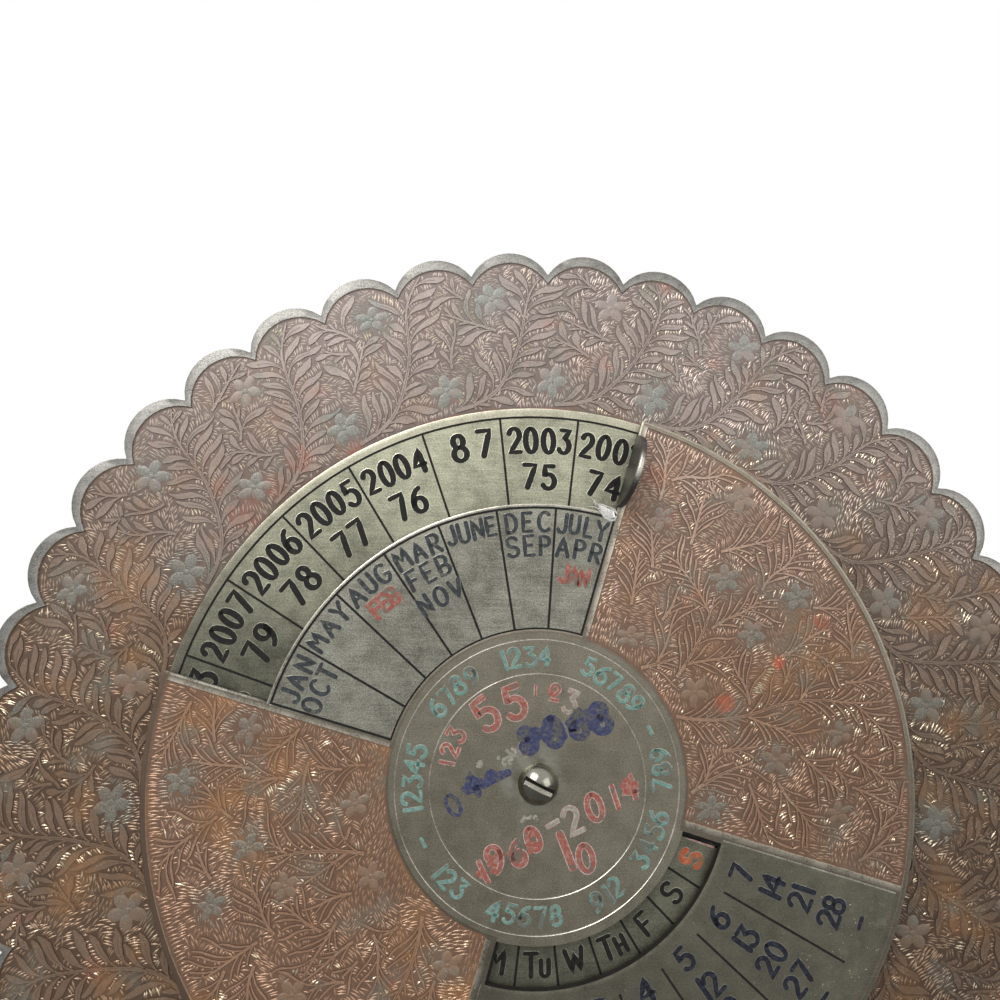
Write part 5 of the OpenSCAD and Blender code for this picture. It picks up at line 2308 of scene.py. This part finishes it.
    RED_MARKS = (("1", -8.6, -12.6, 28, 3.2), ("9", -6.6, -10.7, 28, 3.7), ("6", -3.3, -10.0, 28, 3.6),
                 ("0", -0.8, -7.9, 24, 3.5), ("0", 8.6, -3.4, 18, 4.0), ("1", 11.5, -2.0, 20, 3.4),
                 ("4", 14.0, -0.6, 12, 3.6), ("1", 3.9, -9.9, 22, 5.4), ("0", 7.1, -10.8, 14, 4.0),
                 ("5", -8.0, 10.5, 36, 4.8), ("5", -3.7, 12.1, 18, 4.8), ("1", -13.9, 3.2, 76, 2.3),
                 ("2", -13.5, 5.2, 70, 2.5), ("3", -12.6, 7.4, 62, 2.6), ("1", -0.4, 14.0, 0, 1.5),
                 ("2", 2.6, 13.7, -8, 2.3))
    PALE_MARKS = (("-", 2.1, -5.9, 24, 4.0), ("2", 5.2, -5.3, 22, 4.0), ("3", 5.1, 12.1, -20, 3.4))
    BLUE_MARKS = (("0", -12.9, -2.9, 30, 3.4, 0.2), ("4", -10.2, 0.0, 20, 3.4, 0.34), ("1", -6.6, 1.3, -66, 4.0, 0.3),
                  ("8", -1.6, 6.6, 16, 3.6, 0.36), ("0", 2.4, 7.7, 16, 4.2, 0.36), ("6", 6.1, 8.7, 16, 3.9, 0.36),
                  ("8", 9.6, 9.7, 18, 4.1, 0.38))
    BLUE_PATCHES = ((0.6, 7.1, 6.6, 2.2, 14, 22), (7.8, 9.2, 5.6, 2.2, 16, 18), (-10.2, -0.2, 2.6, 1.2, 20, 6),
                    (-6.6, 1.3, 3.4, 0.8, 22, 5))
    PALE_PATCHES = ((-3.6, 4.4, 4.8, 2.2, 25, 22), (-8.6, 3.0, 1.6, 1.0, 0, 5), (-1.6, -5.0, 3.0, 0.7, 10, 6))
    RED_PATCHES = ((-6.7, -10.8, 2.6, 2.6, 20, 16), (-3.2, -10.0, 2.4, 2.4, 20, 16), (-0.6, -8.2, 2.2, 2.6, 20, 12),
                   (14.0, -0.4, 2.2, 2.4, 10, 24), (-7.6, -12.6, 3.0, 0.8, 10, 7), (2.6, 13.7, 1.8, 1.0, 0, 5))

    def hub_middle(self, pile: Pile, rng: random.Random) -> None:
        """Paints worn numbers and rubbed patches inside the hub's inner line.

        Args:
            pile: Where the marks go.
            rng: Source of their unevenness.
        """
        turn = self.REST_TURN - self.turn
        for mark, x, y, heading, height, nib in self.BLUE_MARKS:
            punch = self.punch(rng, BLUE, HUB, height, (height * nib, height * nib * 0.85), burr_width=0.02)
            punch.stamp(pile, mark, self.rested(x, y), heading + turn)
        for ink, marks, nib in ((RED, self.RED_MARKS, 0.21), (PALE, self.PALE_MARKS, 0.17)):
            for mark, x, y, heading, height in marks:
                punch = self.punch(rng, ink, PINK, height, (height * nib, height * nib * 0.9), burr_width=0.1)
                punch.stamp(pile, mark, self.rested(x, y), heading + turn)
        dabs = ((BLUE, self.BLUE_PATCHES, 2.4), (PALE, self.PALE_PATCHES, 1.0), (RED, self.RED_PATCHES, 1.6))
        for ink, patches, height in dabs:
            punch = self.punch(rng, ink, HUB, height, (height * 0.5, height * 0.42))
            for x, y, length, tall, heading, count in patches:
                punch.smear(pile, self.rested(x, y), (length, tall), heading + turn, count)

    TEARS = (
        (((9.9, 42.6), (10.4, 42.2), (11.0, 41.5), (11.8, 41.2), (12.2, 40.6)), (0.12, 0.4, 0.75, 0.8, 0.3), 0.05),
        (((9.7, 42.1), (10.3, 41.3), (10.9, 40.6), (11.7, 40.2), (12.4, 40.2), (12.7, 40.9)),
         (0.05, 0.13, 0.2, 0.24, 0.2, 0.1), 0.16),
        (((10.0, 42.8), (10.9, 42.5), (11.6, 42.3), (12.4, 41.9), (12.8, 41.2)), (0.08, 0.16, 0.12, 0.22, 0.12), 0.14),
        (((8.6, 44.0), (9.3, 43.1), (10.1, 42.5)), (0.03, 0.1, 0.1), 0.06),
        (((8.0, 42.4), (9.2, 42.3), (10.2, 42.0)), (0.03, 0.09, 0.08), 0.06),
        (((9.2, 43.4), (9.5, 42.7), (9.4, 42.2)), (0.03, 0.07, 0.04), 0.05),
    )

    def chip(self) -> Object:
        """Raises the bright burr that the tab's corner has torn up beside the months."""
        rng = random.Random(8)
        pile = Pile()
        for path, halves, rise in self.TEARS:
            points = [Vector(self.rested(x + rng.uniform(-0.06, 0.06), y + rng.uniform(-0.06, 0.06))) for x, y in path]
            pile.band(points, halves, self.top, self.top + rise, 0.6)
        return self.piece(pile, "cover_chip", (CHIP,), self.upright)

    def build(self) -> None:
        """Builds and dresses the cover."""
        pile = self.sheet()
        self.tab(pile)
        finishes = (BACK, MARGIN, COVER_FLOOR, HUB, MONTHS, DATES, BLACK, SCRIBE_AND_EDGE_HIGHLIGHT, SHADE, TAB)
        sheet = self.piece(pile, "cover_sheet", finishes, self.upright)
        self.keep(shade_smooth(sheet, SHEET_CREASE), "engraved_cover", "cover_disc")
        self.keep(self.marks(), "ink_fill")
        self.keep(self.chip(), "engraved_cover")
        works = (COVER_HATCH, COVER_LEAF, COVER_CUT, COVER_VEIN, COVER_PETAL)
        self.engrave("cover", "engraved_cover", self.sunk, self.scroll(), works)

    def scroll(self) -> Scroll:
        """Grows the leaf scroll into the two engraved fields."""
        rng = random.Random(23)
        ground = Ground(60.0, self.ground)
        scroll = Scroll(ground, rng, 0.23, (3.6, 6.6), (0.14, 0.21), 1.1, (7.0, 13.0), hatch_longest=1.45)
        turn = Matrix.Rotation(math.radians(self.REST_TURN), 2)
        for place in self.FLOWERS:
            x, y = turn @ Vector(place)
            if not ground.is_taken(x, y):
                scroll.plant_flower(x, y, rng.uniform(2.1, 2.6))
        for k in range(30):
            angle = k * 12 + rng.uniform(-3, 3)
            bend = rng.choice((-1, 1)) * rng.uniform(1.2, 3.2)
            start = polar(23.6 + rng.uniform(0, 6) * (k % 2), angle)
            bends = [(14, bend), (12, -bend), (10, bend)]
            shoot = scroll.walk(*start, angle + rng.uniform(-30, 30) - bend * 6, bends, 0.0, 1.2)
            scroll.keep_stem(shoot, 0.3, 4.0)
        scroll.grow_branches(9.0, 8.0)
        scroll.fill(4000, 3.4)
        scroll.grow_leaves()
        self.hatch_rim(scroll)
        scroll.hatch()
        return scroll

    def hatch_rim(self, scroll: Scroll) -> None:
        """Sets a ladder of strokes along the rim of the engraved fields."""
        radius, pitch = self.field_out - 0.45, 0.6
        for k in range(round(2 * math.pi * radius / pitch)):
            angle = k * math.degrees(pitch / radius)
            scroll.stroke_from(*polar(radius, angle), angle + 180 + scroll.rng.uniform(-5, 5))


@dataclass
class Pivot(Assembly):
    """Centre screw with the washers and the nut that hold the stack."""

    slot_turn: float = -25.0
    slot_width: float = 1.1
    slot_depth: float = 1.1
    splay: float = 0.48

    def head(self) -> Object:
        """Builds the screw with a slot in its domed head, splayed on its lower side: dirt and painted shadow on the
        slot's floor, rubbed metal and a painted highlight on its lower wall.
        """
        screw = softened(self.nodes["centre_screw"], "screw_turned", 0.09, self.palette(SCREW))
        for finish in (SLOT_DIRT_AND_SHADOW, WORN_LIT_WALL):
            screw.data.materials.append(self.palette(finish))
        inverse = self.plate.to_world.inverted()
        across = Vector((*polar(1.0, self.slot_turn + 90), 0.0))
        top = self.plate.box(self.nodes["centre_screw"])[1][2]
        push = self.plate.to_world.to_3x3() @ across * self.splay
        for vertex in screw.data.vertices:
            place = inverse @ vertex.co
            if abs(top - self.slot_depth - place.z) < 0.15 and -self.slot_width / 2 - 0.02 < place.dot(across) < -0.2:
                vertex.co += push
        for face in screw.data.polygons:
            middle = inverse @ face.center
            under, side = top - middle.z, middle.dot(across)
            # Dirt with painted shadow on the slot's floor; rubbed metal with a painted highlight on the lower wall.
            if abs(self.slot_depth - under) < 0.1 and abs(side) < self.slot_width / 2 + 0.01:
                face.material_index = 1
            elif under < self.slot_depth and -self.slot_width / 2 - 0.02 < side < 0.0:
                face.material_index = 2
        return screw

    def build(self) -> None:
        """Builds and dresses the pivot."""
        self.keep(self.head(), "screw_brass", "centre_screw")
        self.dress("slip_washer", RIVET)
        self.soften("back_washer", "back_washer_turned", 0.07, RIVET, "screw_brass")
        self.soften("spring_washer", "spring_washer_split", 0.07, STEEL, "spring_steel")
        self.soften("back_nut", "back_nut_turned", 0.07, SCREW, "screw_brass")


@dataclass
class Stand(Assembly):
    """Bracket on the plate's back, its rivets and the pin of the leg."""

    def build(self) -> None:
        """Builds and dresses the stand's fixed pieces."""
        self.soften("strut_bracket", "bracket_pressed", 0.12, STAND, "stand_brass")
        self.soften("hinge_pin", "pin_turned", 0.1, RIVET, "rivet_brass")
        self.dress("bracket_rivets", RIVET)


@dataclass
class Leg(Assembly):
    """Folding leg that holds the plate up."""

    body: str = "leg"

    def build(self) -> None:
        """Builds and dresses the leg."""
        self.soften("strut_leg", "leg_pressed", 0.14, STAND, "stand_brass")


# ------------ studio


@dataclass
class Studio:
    """Floor, soft light, white surroundings and the camera."""

    plate: PlateFrame
    sheet: float = 1.2
    tilt: Point3 = (-6.51, 3.17, -1.63)
    shift: Point3 = (5.683, -43.346, -115.986)
    focal: float = 0.751
    sensor: float = 36.0
    floor_reach: float = 4.0

    def camera(self) -> None:
        """Sets the camera by where it stands over the plate's front face."""
        turns = [Matrix.Rotation(math.radians(a), 3, axis) for a, axis in zip(self.tilt, "XYZ")]
        aim = (turns[0] @ turns[1] @ turns[2]).transposed()
        place = -(aim @ Vector(self.shift)) + Vector((0, 0, self.sheet))
        local = Matrix.LocRotScale(place, None, None) @ aim.to_4x4()
        world = self.plate.to_world @ local
        camera = bpy.data.cameras.new("camera")
        camera.sensor_width, camera.lens = self.sensor, self.focal * self.sensor
        camera.clip_start, camera.clip_end = 0.005, 20.0
        holder = linked("camera", camera)
        holder.matrix_world = Matrix.LocRotScale(world.translation, world.to_quaternion(), None)
        bpy.context.scene.camera = holder

    def lamp(self, name: str, place: Point3, target: Point3, size: float, power: float) -> None:
        """Adds a soft square lamp.

        Args:
            name: Name of the lamp.
            place: Where it hangs, in metres.
            target: What it faces, in metres.
            size: Side of its square, in metres.
            power: Its power in watts.
        """
        light = bpy.data.lights.new(name, "AREA")
        light.shape, light.size, light.energy = "SQUARE", size, power
        holder = linked(name, light)
        holder.location = place
        holder.rotation_euler = (Vector(target) - Vector(place)).to_track_quat("-Z", "Y").to_euler()

    def surroundings(self) -> None:
        """Makes the world white where it is seen and softer where it lights."""
        world = bpy.data.worlds.new("surroundings")
        world.use_nodes = True
        bpy.context.scene.world = world
        graph = Graph(world.node_tree)
        graph.tree.nodes.clear()
        camera, glossy = self.rays(graph)
        above = graph.part(graph.node("ShaderNodeTexCoord").outputs["Generated"], "Z").step(-0.15, 0.8)
        strength = (0.42 + glossy * (above * 0.7 - 0.1)) * (1.0 - camera) + camera
        shader = graph.out("ShaderNodeBackground", None, {"Color": WHITE, "Strength": strength})
        graph.node("ShaderNodeOutputWorld", None, {"Surface": shader})

    @staticmethod
    def rays(graph: Graph) -> tuple[Value, Value]:
        """1 for rays straight from the camera, and 1 for rays that a gloss mirrors."""
        path = graph.node("ShaderNodeLightPath")
        return Value(graph, path.outputs["Is Camera Ray"]), Value(graph, path.outputs["Is Glossy Ray"])

    def floor(self) -> None:
        """Lays a pale floor that keeps the object's shadow."""
        material = bpy.data.materials.new("pale_floor")
        material.use_nodes = True
        graph = Graph(material.node_tree)
        graph.tree.nodes.clear()
        camera, glossy = self.rays(graph)
        matte = graph.out("ShaderNodeBsdfDiffuse", None, {"Color": (0.86, 0.86, 0.86, 1.0)})
        white, dim = (graph.out("ShaderNodeEmission", None, {"Color": WHITE, "Strength": s}) for s in (1.0, 0.08))
        place = graph.node("ShaderNodeTexCoord").outputs["Object"]
        away = Value(graph, graph.node("ShaderNodeVectorMath", {"operation": "LENGTH"}, {0: place}).outputs["Value"])
        lit = graph.out("ShaderNodeMixShader", None, {0: glossy * 0.85, 1: matte, 2: dim})
        share = camera * (0.72 + away.step(0.12, 0.4) * 0.28)
        blend = graph.out("ShaderNodeMixShader", None, {0: share, 1: lit, 2: white})
        graph.node("ShaderNodeOutputMaterial", None, {"Surface": blend})
        mesh = bpy.data.meshes.new("floor")
        reach = self.floor_reach
        corner = [(-reach, -reach, 0), (reach, -reach, 0), (reach, reach, 0), (-reach, reach, 0)]
        mesh.from_pydata(corner, [], [(0, 1, 2, 3)])
        mesh.materials.append(material)
        linked("floor", mesh)

    def build(self) -> None:
        """Sets up the whole studio."""
        self.camera()
        self.surroundings()
        self.floor()
        self.lamp("key", (-0.35, -0.35, 0.75), (0, 0, 0.08), 0.5, 5.0)
        self.lamp("fill", (0.7, -0.6, 0.45), (0, 0, 0.08), 0.6, 2.0)
        self.lamp("rear", (-0.3, 0.8, 0.6), (0, 0, 0.08), 0.6, 3.0)
        bpy.context.scene.view_settings.view_transform = "Standard"


def corners(box: tuple[Vector, Vector]) -> list[list[float]]:
    """A box as plain lists."""
    return [list(corner) for corner in box]


def main() -> None:
    """Builds the sub-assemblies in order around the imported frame."""
    logging.basicConfig(level=logging.INFO, format="%(name)s: %(message)s")
    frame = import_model()
    plate = PlateFrame.from_joint(frame["joints"], "cover_turn")
    palette = Palette(plate)
    Studio(plate).build()
    for assembly in (BasePlate, Dial, Cover, Pivot, Stand, Leg):
        assembly(plate, palette, frame["nodes"]).build()
        LOG.info("%s is ready", assembly.__name__)


if __name__ == "__main__":
    main()
